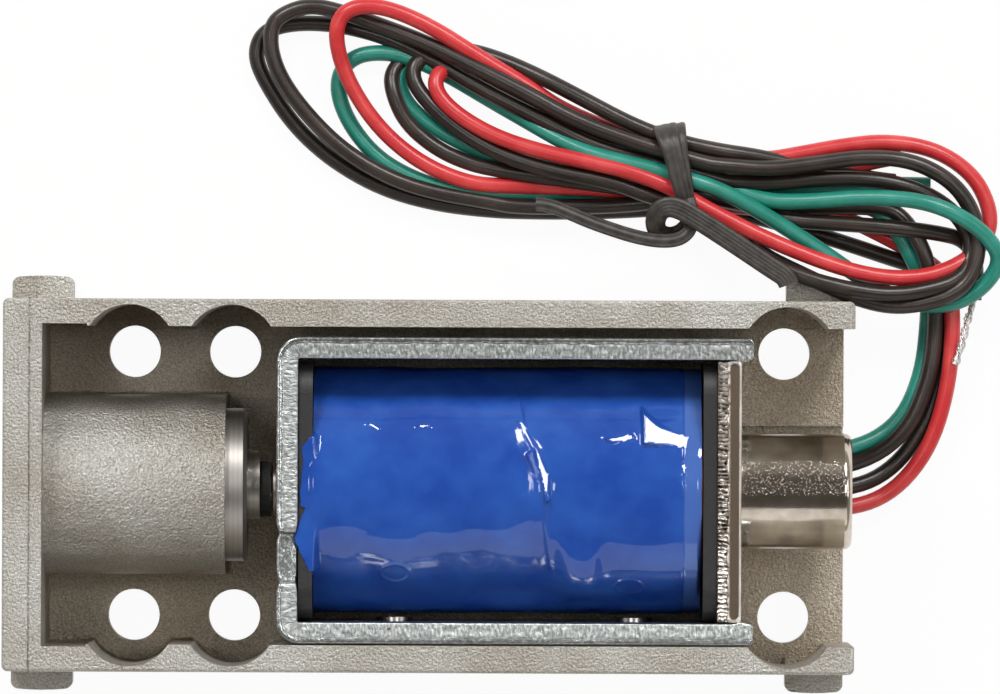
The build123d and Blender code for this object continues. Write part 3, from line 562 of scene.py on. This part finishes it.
def strip_mesh():
    """Carries the strip's section along the U. Across the thickness the sheared edge falls in
    a quarter circle outside, leans inwards, has a smooth band, a groove and then a band torn
    by lattice noise. The leg's edge drops by the notch between two rounded ends, and the
    arms' ends are rounded and bulge a little inwards where they are staked."""
    place, normal = u_path()
    along = run_along(place)
    on_leg = normal[:, 0] < -0.99
    away = np.abs(place[:, 1] - notch_y) - notch_width / 2
    in_notch = on_leg * np.clip(-away / 0.1, 0, 1)
    near_notch = np.clip(1 - away / notch_round, 0, 1)
    rounded = notch_round * (1 - np.sqrt(1 - near_notch**2))
    top = strip_top - notch_depth * in_notch - np.where(away > 0, rounded, 0) * on_leg
    waist = waist_depth * on_leg * np.exp(-((away / 0.5) ** 2))
    on_arm = np.abs(normal[:, 1]) > 0.99
    bulge = np.exp(-(((place[:, 0] - stake_x) / 0.4) ** 2)) * on_arm
    near_end = np.clip((place[:, 0] - (frame_high[0] - end_round)) / end_round, 0, 1) * on_arm
    corner = end_round * (1 - np.sqrt(1 - near_end**2))
    inner = strip_thick + stake_reach * bulge - 0.5 * waist - corner
    outer = corner + waist
    across = np.concatenate([np.linspace(0, 0.2, 8), np.linspace(0.2, 1, 18)[1:]])
    upright = np.linspace(0, 1, 7)[1:-1]
    share = np.concatenate([across, np.ones(5), across[::-1], np.zeros(5)])
    rise = np.concatenate([np.ones(25), 1 - upright, np.zeros(25), upright])
    depth = outer[:, None] + (inner - outer)[:, None] * share[None, :]
    in_band = depth - outer[:, None]
    behind = inner[:, None] - depth
    near_face = np.clip(roll_radius - in_band, 0, roll_radius)
    roll = roll_radius - np.sqrt(roll_radius**2 - near_face**2)
    burr = burr_size * np.clip(1 - behind / burr_size, 0, 1) ** 2
    edge_line = rolled_band + 0.06 * lattice_noise(along[:, None] / 0.8 + 0 * depth, 0 * depth, 6)
    torn = np.clip((in_band - edge_line) / 0.1, 0, 1) * np.clip(behind / burr_size, 0, 1)
    plain = ~(on_leg[:, None] & (in_notch[:, None] > 0))
    torn = torn * plain
    tears = lattice_noise(along[:, None] / 0.3 + 0 * depth, depth / 0.6, 3)
    worn = lattice_noise(along[:, None] / 1.9 + 0 * depth, depth / 1.2, 5)
    groove = 0.05 * np.exp(-(((in_band - edge_line) / 0.08) ** 2)) * plain
    lean = edge_lean * np.clip(in_band / strip_thick, 0, 1)
    fall = roll + burr + lean + groove + torn * (0.03 + 0.02 * tears) + 0.012 * worn * (in_band > 0.2)
    on_top = (rise > 0.99) | (rise < 0.01)
    fall = np.where(on_top, fall, 0)
    z = strip_bottom + (top[:, None] - strip_bottom) * rise + np.where(rise > 0.5, -fall, fall)
    ring = np.empty((*depth.shape, 3))
    ring[..., :2] = place[:, None, :] - normal[:, None, :] * depth[..., None]
    ring[..., 2] = z
    marks = np.stack([along[:, None] + 0 * depth, depth, torn * on_top], axis=-1)
    return ring, marks


zinc = zinc_plate()
ring, marks = strip_mesh()
strip = skin("solenoid_frame", ring, material=zinc, sharp=50, marks=marks)
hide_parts("frame")
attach(strip, "lock_body")

# End plate. Punched from nickel-plated steel and closed over the frame's open side. Its
# edge is half torn and half burnished by the punch, and the outer face has rolled edges.
plate_low, plate_high = (np.array(corner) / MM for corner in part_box("end_plate"))
plate_hole = 5.12
plate_roll = 0.25
tooth_pitch = 0.34
torn_width = 0.84
burnish_middle = 1.32
burnish_half = 0.46
coil_y = -0.35
axis_z = 13.25


def plate_mesh():
    """A closed ring of points round the plate's hole. Each point's path starts on the hole,
    crosses the inner face to the rectangle's edge, goes over that edge and comes back on the
    outer face. The edge is torn into teeth on the inner side, has a burnished hollow with
    round ends beside them, and falls by a quarter circle at the outer face."""
    half_y = (plate_high[1] - plate_low[1]) / 2
    half_z = (plate_high[2] - plate_low[2]) / 2
    top_y = np.linspace(-half_y, half_y, 400, endpoint=False)
    side_z = np.linspace(-half_z, half_z, 90, endpoint=False)
    bottom_y = np.linspace(-half_y, half_y, 90, endpoint=False)
    edge = np.vstack(
        [
            np.stack([top_y, np.full_like(top_y, half_z)], 1),
            np.stack([np.full_like(side_z, half_y), -side_z], 1),
            np.stack([-bottom_y, np.full_like(bottom_y, -half_z)], 1),
            np.stack([np.full_like(side_z, -half_y), side_z], 1),
        ]
    )
    hole = edge / np.linalg.norm(edge, axis=1)[:, None] * plate_hole
    thick = plate_high[0] - plate_low[0]
    across = np.concatenate([np.linspace(0, 1.0, 15), np.linspace(1.0, thick, 16)[1:]])
    over = np.concatenate([np.zeros(8), across, np.full(8, thick)])
    out = np.concatenate([np.linspace(0, 1, 9)[:-1], np.ones(30), np.linspace(1, 0, 9)[1:]])
    on_edge = (out > 0.99)[None, :]
    near_face = np.clip(over - (thick - plate_roll), 0, plate_roll)
    roll = plate_roll - np.sqrt(plate_roll**2 - near_face**2)
    on_side = np.abs(edge[:, :1]) > half_y - 1e-6
    count = np.where(on_side, edge[:, 1:] + 40, edge[:, :1])
    limit = np.where(on_side, half_z, half_y)
    deep = over[None, :]
    wander = 0.12 * lattice_noise(count / 0.35, 0 * count, 12)
    torn = np.clip((torn_width + wander - deep) / 0.07, 0, 1) * np.clip(deep / 0.1 + 0.3, 0, 1)
    phase = count / tooth_pitch + 0.25 * deep + 0.3 * lattice_noise(count / 0.8, deep / 0.9, 8)
    teeth = 0.45 * np.sin(2 * pi * phase) + 0.8 * lattice_noise(count / 0.15, deep / 0.22, 9)
    past = np.clip(np.abs(np.where(on_side, edge[:, 1:], edge[:, :1])) - (limit - 0.6), 0, None)
    burnish_and_reflection_band = np.clip((burnish_half - np.hypot(deep - burnish_middle, past)) / 0.09, 0, 1) * on_edge
    inward = roll[None, :] + torn * (0.14 + 0.15 * teeth) + 0.035 * burnish_and_reflection_band
    inward = np.where(on_edge, np.maximum(inward, 0), 0)
    flat = hole[:, None, :] + (edge - hole)[:, None, :] * out[None, :, None]
    flat = flat * (1 - inward / np.linalg.norm(flat, axis=2))[..., None]
    ring = np.empty((len(edge), len(out), 3))
    ring[..., 0] = plate_low[0] + over[None, :]
    ring[..., 1] = coil_y + flat[..., 0]
    ring[..., 2] = axis_z + flat[..., 1]
    # Marks for the material: the burnished band, whose colour is painted darker for the dark ceiling it
    # mirrors, and painted shade in the hollows between the torn teeth.
    painted_gap_shade = torn * on_edge * np.clip(0.5 + 0.6 * teeth, 0, 1)
    marks = np.stack([burnish_and_reflection_band, painted_gap_shade, 0 * burnish_and_reflection_band], axis=-1)
    return ring, marks


def nickel(name, dark, light, rough, burnished=None, worn=None):
    """Nickel plating or bare metal: a mirror, a little hazy, with fine lengthwise scratches.
    Burnished is the colour of the bands marked so by the mesh: bare burnished steel, painted
    darker to stand in for the dark ceiling it mirrors. The mesh also marks the hollows between
    torn teeth, which get a dark painted shade.
    Worn gives the middle and half width, across the part, of a strip rubbed by handling,
    whose pits glint."""
    material, tree, place = start_material(name)
    haze = add_node(tree, "TexNoise", {"Vector": place, "Scale": 1 / (1.5 * MM), "Detail": 5.0})
    colour = add_node(tree, "ValToRGB", {"Fac": haze}, [(0.35, dark), (0.65, light)])
    if burnished:
        marks = add_node(tree, "Attribute", attribute_name="marks")
        part = add_node(tree, "SeparateXYZ", {"Vector": marks.outputs["Vector"]})
        # Painted light: the burnished band gets a darker colour for the dark ceiling it mirrors, and the
        # hollows between torn teeth a dark painted shade.
        rubbed = add_node(
            tree, "MixRGB", {"Fac": part.outputs["X"], "Color1": colour, "Color2": linear(burnished)}
        )
        colour = add_node(
            tree, "MixRGB", {"Fac": part.outputs["Y"], "Color1": rubbed, "Color2": linear("#4A4039")}
        )
    stretched = add_node(
        tree, "Mapping", {"Vector": place, "Scale": (1 / (2.0 * MM), 1 / (0.1 * MM), 1 / (0.1 * MM))}
    )
    lines = add_node(tree, "TexNoise", {"Vector": stretched, "Scale": 1.0, "Detail": 2.0})
    bump = add_node(tree, "Bump", {"Height": lines, "Strength": 0.12, "Distance": 0.025 * MM})
    if worn:
        where = add_node(tree, "SeparateXYZ", {"Vector": place})
        off = add_node(tree, "Math", {0: where.outputs["Y"], 1: worn[0] * MM}, operation="SUBTRACT")
        far = add_node(tree, "Math", {0: off}, operation="ABSOLUTE")
        handled = add_node(
            tree,
            "MapRange",
            {
                "Value": far,
                "From Min": (worn[1] + 0.4) * MM,
                "From Max": (worn[1] - 0.3) * MM,
                "To Min": 0.02,
                "To Max": 0.8,
            },
            interpolation_type="SMOOTHSTEP",
        )
        pits = add_node(tree, "TexNoise", {"Vector": place, "Scale": 1 / (0.16 * MM), "Detail": 1.0})
        glints = add_node(tree, "MapRange", {"Value": pits, "From Min": 0.62, "From Max": 0.69})
        bump = add_node(
            tree, "Bump", {"Height": glints, "Strength": handled, "Distance": 0.03 * MM, "Normal": bump}
        )
    shader = add_node(
        tree,
        "BsdfPrincipled",
        {"Base Color": colour, "Metallic": 1.0, "Roughness": rough, "Normal": bump},
    )
    add_node(tree, "OutputMaterial", {"Surface": shader})
    return material


ring, marks = plate_mesh()
# The burnished band's brown #7F7061 is partly painted: darker, to stand in for the dark ceiling it mirrors.
plate = skin(
    "end_plate_punched",
    ring,
    closed=True,
    material=nickel("nickel_plated_plate", "#CFC7BE", "#EDE8E2", 0.3, burnished="#7F7061"),
    marks=marks,
)
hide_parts("end_plate")
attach(plate, "lock_body")

# Coil film. Blue polyester tape wound once round the coil: a glossy skin over the
# winding with a diagonal crease, shallow waves and small dents, lapped over the front
# flange, where its edge is torn.
coil_radius = 10.0
tape_thick = 0.18
tape_start = -9.3
tape_end = 21.95
second_layer_x = 20.55
flange_top = 22.93
film_limit = 23.8
wave_limit = 0.14
card_from, card_to, side_angle = 14, 37, 80
# The torn lap's outline: angles round the coil and the film's reach beyond its start
lap_edge = [
    (-46, 0), (-38.8, 0.4), (-32, 0.88), (-27.8, 1.2), (-23.2, 1.45), (-15.4, 1.04), (-11.6, 0.8),
    (-8.3, 0.56), (-7.4, 0.96), (-3.7, 1.04), (3.2, 0.96), (9.2, 0.88), (15.8, 0.8), (20.7, 0.88),
    (27.2, 0.1), (29.9, 0),
]
# The edges of the card's reflection: places along the coil and angles down its side
card_upper_edge = [
    (-10, 18.5), (-7.2, 14.5), (-5.5, 15), (-3.6, 21.5), (-1.5, 21), (0.7, 17), (2.0, 19), (3.6, 16),
    (5.85, 18), (8.3, 12), (9.7, 12.5), (10.2, 20), (10.8, 28), (12.2, 32), (13.3, 30), (13.9, 20),
    (17.5, 23.5), (20.5, 22.5),
]
card_lower_edge = [
    (-10, 29), (-5, 33), (-3, 34), (0.5, 31), (4, 30), (7.5, 32), (9.4, 38), (12.6, 41), (16.4, 40),
    (21, 40),
]


def film():
    """Polyester film: saturated blue and glossy, paler where its second layer ends."""
    material, tree, place = start_material("blue_polyester_film")
    haze = add_node(tree, "TexNoise", {"Vector": place, "Scale": 1 / (3.5 * MM), "Detail": 4.0})
    tint = add_node(tree, "ValToRGB", {"Fac": haze}, [(0.35, "#2049A2"), (0.7, "#2E5CB4")])
    where = add_node(tree, "SeparateXYZ", {"Vector": place})
    single = add_node(
        tree,
        "MapRange",
        {
            "Value": where.outputs["X"],
            "From Min": (second_layer_x - 0.05) * MM,
            "From Max": (second_layer_x + 0.1) * MM,
            "To Max": 0.32,
        },
    )
    colour = add_node(tree, "MixRGB", {"Fac": single, "Color1": tint, "Color2": linear("#6F8FCB")})
    scuffs = add_node(tree, "TexNoise", {"Vector": place, "Scale": 1 / (0.9 * MM), "Detail": 5.0})
    shine = add_node(
        tree,
        "MapRange",
        {"Value": scuffs, "From Min": 0.45, "From Max": 0.8, "To Min": 0.045, "To Max": 0.16},
    )
    shader = add_node(tree, "BsdfPrincipled", {"Base Color": colour, "Roughness": shine, "IOR": 1.6})
    add_node(tree, "OutputMaterial", {"Surface": shader})
    return material


def dent(s, arc, centre, size, depth):
    """A smooth hollow: a bell curve of the distance from its centre, in sizes along and round."""
    turned = np.arcsin((centre[1] - coil_y) / coil_radius) * coil_radius
    far = ((s - centre[0]) / size[0]) ** 2 + ((arc - turned) / size[1]) ** 2
    return -depth * np.exp(-far)


def lean_waves(s, degrees):
    """Waves that bend the card's reflection. Its edges lie where the film faces 14 and 37
    degrees towards the screws; here they are drawn to the angles listed along the coil. The
    height is the lean summed up round the coil, and fades out beyond the reflection."""
    steps = np.linspace(-12, 24, 361)
    bell = np.exp(-((np.linspace(-1.5, 1.5, 31) / 0.7) ** 2))
    edges = []
    for outline in (card_upper_edge, card_lower_edge):
        angles = np.pad(np.interp(steps, *zip(*outline)), 15, "edge")
        edges.append(np.interp(s, steps, np.convolve(angles, bell / bell.sum(), "valid")))
    upper, lower = edges
    below = np.clip(-degrees, 0, side_angle)
    on_card = card_from + (below - upper) * (card_to - card_from) / (lower - upper)
    beyond = card_to + (below - lower) * (side_angle - card_to) / (side_angle - lower)
    faces = np.where(below < lower, on_card, beyond)
    faces = np.where(below < upper, below * card_from / upper, faces)
    step = np.gradient(below, axis=0)
    lean = np.radians(below - faces) * np.radians(step)
    height = coil_radius * np.cumsum(lean[::-1], axis=0)[::-1]
    fade = np.clip((66 - below) / 26, 0, 1)
    height = -height * fade * fade * (3 - 2 * fade)
    return np.where(height < 0, wave_limit * np.tanh(height / wave_limit), height)


def facet(x, y, z, corners, facing, border, base):
    """Presses a flat facet into the film: inside a convex outline the height goes over to a
    plane square to the direction it faces. The plane rests on the winding at the base's
    corners, or at the outline's where there is no base."""
    corners = np.array(corners, float)
    following = np.roll(corners, -1, axis=0)
    inside = np.full(x.shape, 9.0)
    for first, second in zip(corners, following):
        along = (second - first) / np.linalg.norm(second - first)
        inside = np.minimum(inside, along[0] * (y - first[1]) - along[1] * (x - first[0]))
    share = np.clip(inside / border + 1, 0, 1)
    share = share * share * (3 - 2 * share) * (z > axis_z)
    rests = np.array(base, float) if base else corners
    slope_x, slope_y = facing[0] / facing[2], facing[1] / facing[2]
    under = axis_z + np.sqrt((coil_radius - 0.12) ** 2 - (rests[:, 1] - coil_y) ** 2)
    level = (under + slope_x * rests[:, 0] + slope_y * rests[:, 1]).max()
    plane = level - slope_x * x - slope_y * y
    return z + share * (plane - z)


def film_mesh():
    """Revolves the film's line round the coil's axis. The radius is the coil's, with shallow
    waves of lattice noise, leaning strips, hollows, two ring-shaped dents, and one long crease,
    which rises slowly on the bolt's side and drops steeply behind. Facets are pressed into it.
    The front edge laps over the flange, where the film lies flat, with a torn outline."""
    turn = np.radians(np.concatenate([np.linspace(-82, 82, 246), np.linspace(88, 272, 24)]))
    share = np.linspace(0, 1, 322)
    t, along = np.meshgrid(turn, share, indexing="ij")
    degrees = np.degrees(t)
    arc = t * coil_radius
    torn = 0.05 * lattice_noise(degrees / 2.2, 0 * t, 31) + 0.04 * lattice_noise(degrees / 0.9, 0 * t, 32)
    reach = np.interp(degrees, *zip(*lap_edge))
    reach = np.clip(reach + torn * (reach > 0), 0, 1.5)
    start = tape_start - reach
    finish = tape_end + 0.05 * lattice_noise(degrees / 9, 0 * t, 33)
    s = start + (finish - start) * along

    waves = 0.06 * lattice_noise(s / 6.0 + 3, arc / 5.0 + 9, 21)
    waves += 0.035 * lattice_noise(s / 3.1, arc / 2.6 + 2, 22) * np.clip((degrees + 5) / 10, 0.2, 1)
    waves += 0.012 * lattice_noise(s / 1.1, arc / 0.9 + 2, 24)
    waves += lean_waves(s, degrees)
    crease_x = np.interp(-degrees, [-66, -32, -18, -4, 14, 45], [6.7, 7.6, 8.65, 9.55, 9.4, 10.1])
    off = s - crease_x
    steep = np.where(off < 0, np.exp(off / 0.75), np.exp(-off / 0.22))
    strength = np.clip((66 - degrees) / 30, 0, 1) * np.clip((degrees + 50) / 35, 0, 1)
    ridge = 0.3 * steep * strength
    fold = 0.06 * np.exp(-np.abs(off + 1.1) / 0.2) * np.clip((24 - degrees) / 10, 0, 1) * strength
    radius = coil_radius - 0.03 + waves + ridge + fold
    radius = radius + dent(s, arc, (18.9, 5.75), (1.5, 0.6), 0.2)
    for ring_x, ring_y in ((-2.7, -6.9), (16.2, -7.75)):
        turned = np.arcsin((ring_y - coil_y) / coil_radius)
        away = np.hypot((s - ring_x) / 1.15, (arc - turned * coil_radius) / 0.95)
        radius = radius + 0.07 * np.exp(-(((away - 1) / 0.1) ** 2))
    radius = radius - 0.07 * (s > second_layer_x)
    radius = np.maximum(radius, coil_radius - tape_thick + 0.02)
    fade = np.clip(np.minimum(s - tape_start + 0.3, finish - s) / 0.3, 0, 1)
    radius = coil_radius - 0.14 + (radius - coil_radius + 0.14) * fade
    inner = coil_radius - tape_thick
    y = coil_y + radius * np.sin(t)
    z = axis_z + radius * np.cos(t)
    to_lamp = (0.17, 0.362, 0.917)
    to_card = (0.39, 0.05, 0.918)
    to_left = (-0.17, 0.362, 0.917)
    patch_left = [(17.3, 5.95), (17.35, 3.6), (18.6, 3.5), (18.4, 4.9)]
    patch_right = [(18.2, 5.0), (18.2, 3.55), (20.7, 3.3), (20.75, 4.0)]
    both = patch_left + patch_right
    facets = [
        (patch_left, to_lamp, 0.3, both), (patch_right, to_lamp, 0.25, both),
        ([(7.2, 5.2), (8.6, 2.5), (8.8, 2.8), (7.5, 5.2)], to_lamp, 0.15, None),
        ([(7.95, 2.5), (8.6, 0.8), (9.0, 0.5), (9.0, 1.3), (8.4, 2.85)], to_card, 0.2, None),
        ([(8.6, 2.75), (9.45, -1.1), (9.65, -1.1), (9.65, 0.7), (8.85, 2.9)], to_lamp, 0.15, None),
        ([(-5.0, 4.9), (-4.0, 4.5), (-3.95, 4.7), (-4.6, 5.0)], to_left, 0.12, None),
        ([(-0.9, 4.75), (0.1, 4.8), (0.05, 4.97), (-0.5, 4.97)], to_left, 0.12, None),
        ([(14.3, 3.9), (14.7, 3.6), (16.5, 3.9), (16.35, 4.2)], to_lamp, 0.2, None),
        ([(20.4, 1.9), (20.45, 1.1), (20.65, 1.1), (20.6, 2.0)], to_lamp, 0.12, None),
    ]
    for corners, facing, border, base in facets:
        z = facet(s, y, z, corners, facing, border, base)
    up = np.clip((-8.75 - s) / 0.5, 0, 1) * np.clip(reach / 0.3, 0, 1)
    up = up * up * (3 - 2 * up)
    z = np.minimum(np.where(z < flange_top, z + (flange_top - z) * up, z), film_limit)
    ring = np.empty((len(turn), len(share) + 4, 3))
    ring[:, 1:-3, 0], ring[:, 1:-3, 1], ring[:, 1:-3, 2] = s, y, z
    edge_z = np.where(reach[:, 0] > 0.05, z[:, 0] - 0.05, axis_z + inner * np.cos(turn))
    ring[:, 0, 0] = s[:, 0]
    ring[:, 0, 1] = y[:, 0]
    ring[:, 0, 2] = edge_z
    for column, x in ((-3, finish[:, 0]), (-2, finish[:, 0] - 10), (-1, tape_start + 0.5)):
        ring[:, column, 0] = x
        ring[:, column, 1] = coil_y + inner * np.sin(turn)
        ring[:, column, 2] = axis_z + inner * np.cos(turn)
    return ring


tape = skin("coil_film", film_mesh(), closed=True, material=film(), sharp=60)
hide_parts("coil_tape")
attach(tape, "lock_body")

# Plunger, pole piece, guide tube and push rod. The plunger is a nickel-plated steel bar
# that slides in a drawn brass tube. The pole piece fills the tube's front end and is
# staked in the frame's leg, and the stainless rod goes through it to the bolt.
dress("plunger", nickel("nickel_plated_bar", "#C6BBAC", "#DAD0C4", 0.13, worn=(0.75, 1.2)))
dress("pole_piece", nickel("plain_turned_steel", "#7C756E", "#9C958E", 0.34))
dress("push_rod", nickel("stainless_pin", "#9C9894", "#B8B5B2", 0.2))
dress("guide_tube", nickel("drawn_brass", "#A88745", "#C29F59", 0.26))


# Bolt and bump washer. The bolt is turned steel with a guiding flange at the boss's
# mouth and a small spigot, and a black rubber washer lies behind it on the rod.
# Turned steel is grey, with tool rings 0.12 mm apart. They are drawn 0.2 mm apart, because
# finer ones don't show. Moulded rubber is nearly black and matt, without a grain.
steel_stops = [(0.1, "#ACA8A2"), (0.9, "#B4B0AA")]
dress("bolt", ridged_metal("turned_bolt_steel", steel_stops, 0.2, (1.0, 1.0), (0.03, 0.02), 1.0, 0.4))
rubber_stops = [(0.4, "#151414"), (0.75, "#2B2927")]
dress("bump_washer", plastic("black_rubber", rubber_stops, (0.3, 4.0), (0.3, 4.0, 0.0, 0.03), 0.7))

# Return spring. Round spring wire inside the boss, its end turns closed so that they
# seat flat on the front wall and on the bolt's flange. It shortens as the bolt goes out;
# the mesh here is built at one length.
spring_low, spring_high = (np.array(corner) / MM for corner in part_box("return_spring"))
spring_wire = 0.7
spring_turns = 5.5
end_closing = 0.09


def tube(line, side, rise, dia, count):
    """Rings of points round a line, each in the plane of its two directions there."""
    around = np.linspace(0, 2 * pi, count, endpoint=False)
    offset = np.cos(around)[None, :, None] * side[:, None, :]
    offset = offset + np.sin(around)[None, :, None] * rise[:, None, :]
    return line[:, None, :] + offset * dia / 2


def spring_mesh():
    """A tube round a helix whose pitch closes up to the wire's thickness at both ends."""
    turn = np.linspace(0, 2 * pi * spring_turns, 260)
    share = turn / turn[-1]
    free = spring_high[0] - spring_low[0] - spring_wire
    x = spring_low[0] + spring_wire / 2 + free * (share - end_closing * np.sin(2 * pi * share))
    radius = (spring_high[1] - spring_low[1] - spring_wire) / 2
    line = np.stack([x, radius * np.cos(turn), axis_z + radius * np.sin(turn)], 1)
    away = np.stack([0 * turn, np.cos(turn), np.sin(turn)], 1)
    return tube(line, away, np.array([[1.0, 0.0, 0.0]]), spring_wire, 12)


spring = skin(
    "spring_wire_coil", spring_mesh(), material=nickel("spring_steel_wire", "#857F78", "#A09992", 0.25)
)
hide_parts("return_spring")
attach(spring, "lock_body")
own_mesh(spring)

# Screws. Two countersunk steel screws hold the solenoid to the tray's lower side wall,
# and their tips show inside the frame.
screw_steel = nickel("plated_screw_steel", "#9C9893", "#BAB6B1", 0.26)
dress("frame_screw_1", screw_steel)
dress("frame_screw_2", screw_steel)


# Twist tie. A steel wire in ribbed grey plastic ribbon, twice round the hank and hooked
# through itself on the tray's side, with two tails.
def smooth_line(points, per_stretch=16):
    """A quadratic B-spline: each stretch is the parabola from one middle to the next, bent
    by the point between them. The first and last middles are the end points themselves."""
    corner = np.array(points, float)
    middle = (corner[:-1] + corner[1:]) / 2
    middle[0], middle[-1] = corner[0], corner[-1]
    t = np.linspace(0, 1, per_stretch, endpoint=False)[:, None]
    parts = [
        (1 - t) ** 2 * middle[i] + 2 * t * (1 - t) * corner[i + 1] + t**2 * middle[i + 1]
        for i in range(len(middle) - 1)
    ]
    return np.vstack([*parts, corner[-1:]])


def line_frame(line, up):
    """Two unit directions at each point of a line: one square to the line and to the
    direction given as up, and one square to both."""
    along = np.gradient(line, axis=0)
    along /= np.linalg.norm(along, axis=1)[:, None]
    wide = np.cross(along, up)
    wide /= np.linalg.norm(wide, axis=1)[:, None]
    return wide, np.cross(wide, along)


def ribbon_mesh(line, up, width, thick, ribs):
    """Carries a ribbed flat section along a line. The section's width stands square to the
    line and to the direction given as up, and its faces rise and fall in ribs."""
    wide, high = line_frame(line, up)
    across = np.linspace(-1, 1, 33)
    face = 1 - 0.5 / (ribs + 1) * (0.5 - 0.5 * np.cos(across * pi * ribs))
    face = face * np.sqrt(np.clip(1 - across**8, 0, 1))
    w = np.concatenate([across, across[::-1][1:-1]])
    h = np.concatenate([face, -face[::-1][1:-1]])
    width = np.broadcast_to(width, len(line))
    thick = np.broadcast_to(thick, len(line))
    return (
        line[:, None, :]
        + wide[:, None, :] * (w[None, :] * width[:, None] / 2)[..., None]
        + high[:, None, :] * (h[None, :] * thick[:, None] / 2)[..., None]
    )


# The tie's plastic is dark grey and satin, scuffed by twisting.
tie_stops = [(0.3, "#272321"), (0.7, "#443F3B")]
tie_finish = plastic("grey_tie_plastic", tie_stops, (0.6, 5.0), (0.6, 5.0, 0.25, 0.05), 0.42)
tie_across = np.array([-0.2, 0.98])
tie_centre = np.array([20.3, 25.75])
loop_height = 3.55


def tie_loop(offset, half_width, half_height):
    """A rounded loop round the hank, in the upright plane that crosses it."""
    turn = np.linspace(0, 2 * pi, 145)[:-1]
    power = 0.62
    c, s = np.cos(turn), np.sin(turn)
    wide = half_width * np.sign(c) * np.abs(c) ** power
    high = half_height * np.sign(s) * np.abs(s) ** power
    along = np.array([tie_across[1], -tie_across[0]])
    line = np.empty((len(turn), 3))
    line[:, :2] = tie_centre + wide[:, None] * tie_across + along * offset(c)[:, None]
    line[:, 2] = loop_height + high
    away = np.empty_like(line)
    away[:, :2] = c[:, None] * tie_across
    away[:, 2] = s
    return line, away, c


wraps = {
    "tie_loop": (lambda c: -0.55 * (0.5 + 0.5 * c), 3.72, 3.2, lambda c: 1.5 + 0.6 * c),
    "tie_loop_under": (lambda c: 0.35 * (0.5 + 0.5 * c), 3.6, 3.0, lambda c: 1.35 + 0.3 * c),
}
for name, (offset, half_width, half_height, width) in wraps.items():
    line, away, c = tie_loop(offset, half_width, half_height)
    loop = skin(name, ribbon_mesh(line, away, width(c), 0.42, ribs=3), closed=True, material=tie_finish)
    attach(loop, "lock_body")
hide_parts("twist_tie")
tails = {
    "tie_tail_left": (
        [
            (21.0, 23.3, 6.3), (21.3, 22.0, 6.7), (21.1, 20.6, 6.9), (19.8, 19.85, 7.0),
            (17.2, 20.05, 7.0), (13.3, 21.3, 7.0), (11.0, 22.3, 7.0), (9.4, 22.9, 7.0), (8.6, 22.9, 6.9),
        ],
        ([0, 1], [1.15, 1.15]),
        0.85,
        2,
    ),
    "tie_tail_right": (
        [
            (21.2, 21.9, 5.6), (20.7, 20.9, 5.7), (19.6, 20.3, 5.9), (18.6, 20.5, 6.4), (18.2, 21.4, 7.1),
            (18.6, 22.5, 7.6), (19.8, 22.8, 7.8), (21.9, 21.6, 7.7), (25.0, 19.6, 7.5), (28.0, 17.6, 7.3),
            (29.0, 17.0, 7.2), (29.2, 16.4, 7.2),
        ],
        ([0, 0.2, 0.4], [1.1, 1.5, 1.7]),
        0.6,
        6,
    ),
}
for name, (points, widths, thick, ribs) in tails.items():
    line = smooth_line(points)
    width = np.interp(np.linspace(0, 1, len(line)), *widths)
    tail = skin(name, ribbon_mesh(line, (0, 0, 1), width, thick, ribs), material=tie_finish)
    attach(tail, "lock_body")

# Bare strand. The tinned copper strands at the end of one black wire, twisted together.
strand_line = smooth_line(
    [(44.5, 15.7, 1.3), (44.3, 14.9, 1.6), (43.8, 13.4, 2.4), (43.45, 11.7, 3.0), (42.85, 9.95, 3.2)], 30
)


def strand_mesh(start, spread, dia=0.16, lay=2.0):
    """One fine wire, wound round the twisted bundle's line at a lay of a few diameters."""
    side, rise = line_frame(strand_line, (0, 0, 1))
    far = run_along(strand_line)
    turn = start + 2 * pi * far / lay
    loose = spread * (1 + 0.6 * np.sin(far * 1.3 + 2.1 * start) * np.clip(far - 0.8, 0, 1))[:, None]
    centre = strand_line + loose * (np.cos(turn)[:, None] * side + np.sin(turn)[:, None] * rise)
    return tube(centre, side, rise, dia, 8)


tinned = nickel("tinned_copper", "#E6E4E1", "#F4F3F1", 0.4)
for number in range(7):
    start = number * 2 * pi / 6
    spread = 0.19 if number < 6 else 0.06
    strand = skin(f"tinned_strand_{number + 1}", strand_mesh(start, spread), material=tinned)
    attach(strand, "lock_body")
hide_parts("bare_strand")

# Wire ends. The four wires, of known length, leave the tray at its rear end, and each ends
# bare. The second black wire carries the strand; its CAD hank is hidden with the CAD leads.
for name, (node, slot, length, _, route) in wires.items():
    wire = wire_pieces[name]
    hidden = [node, "wire_hank"] if name == "wire_black_2" else [node]
    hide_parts(*hidden)
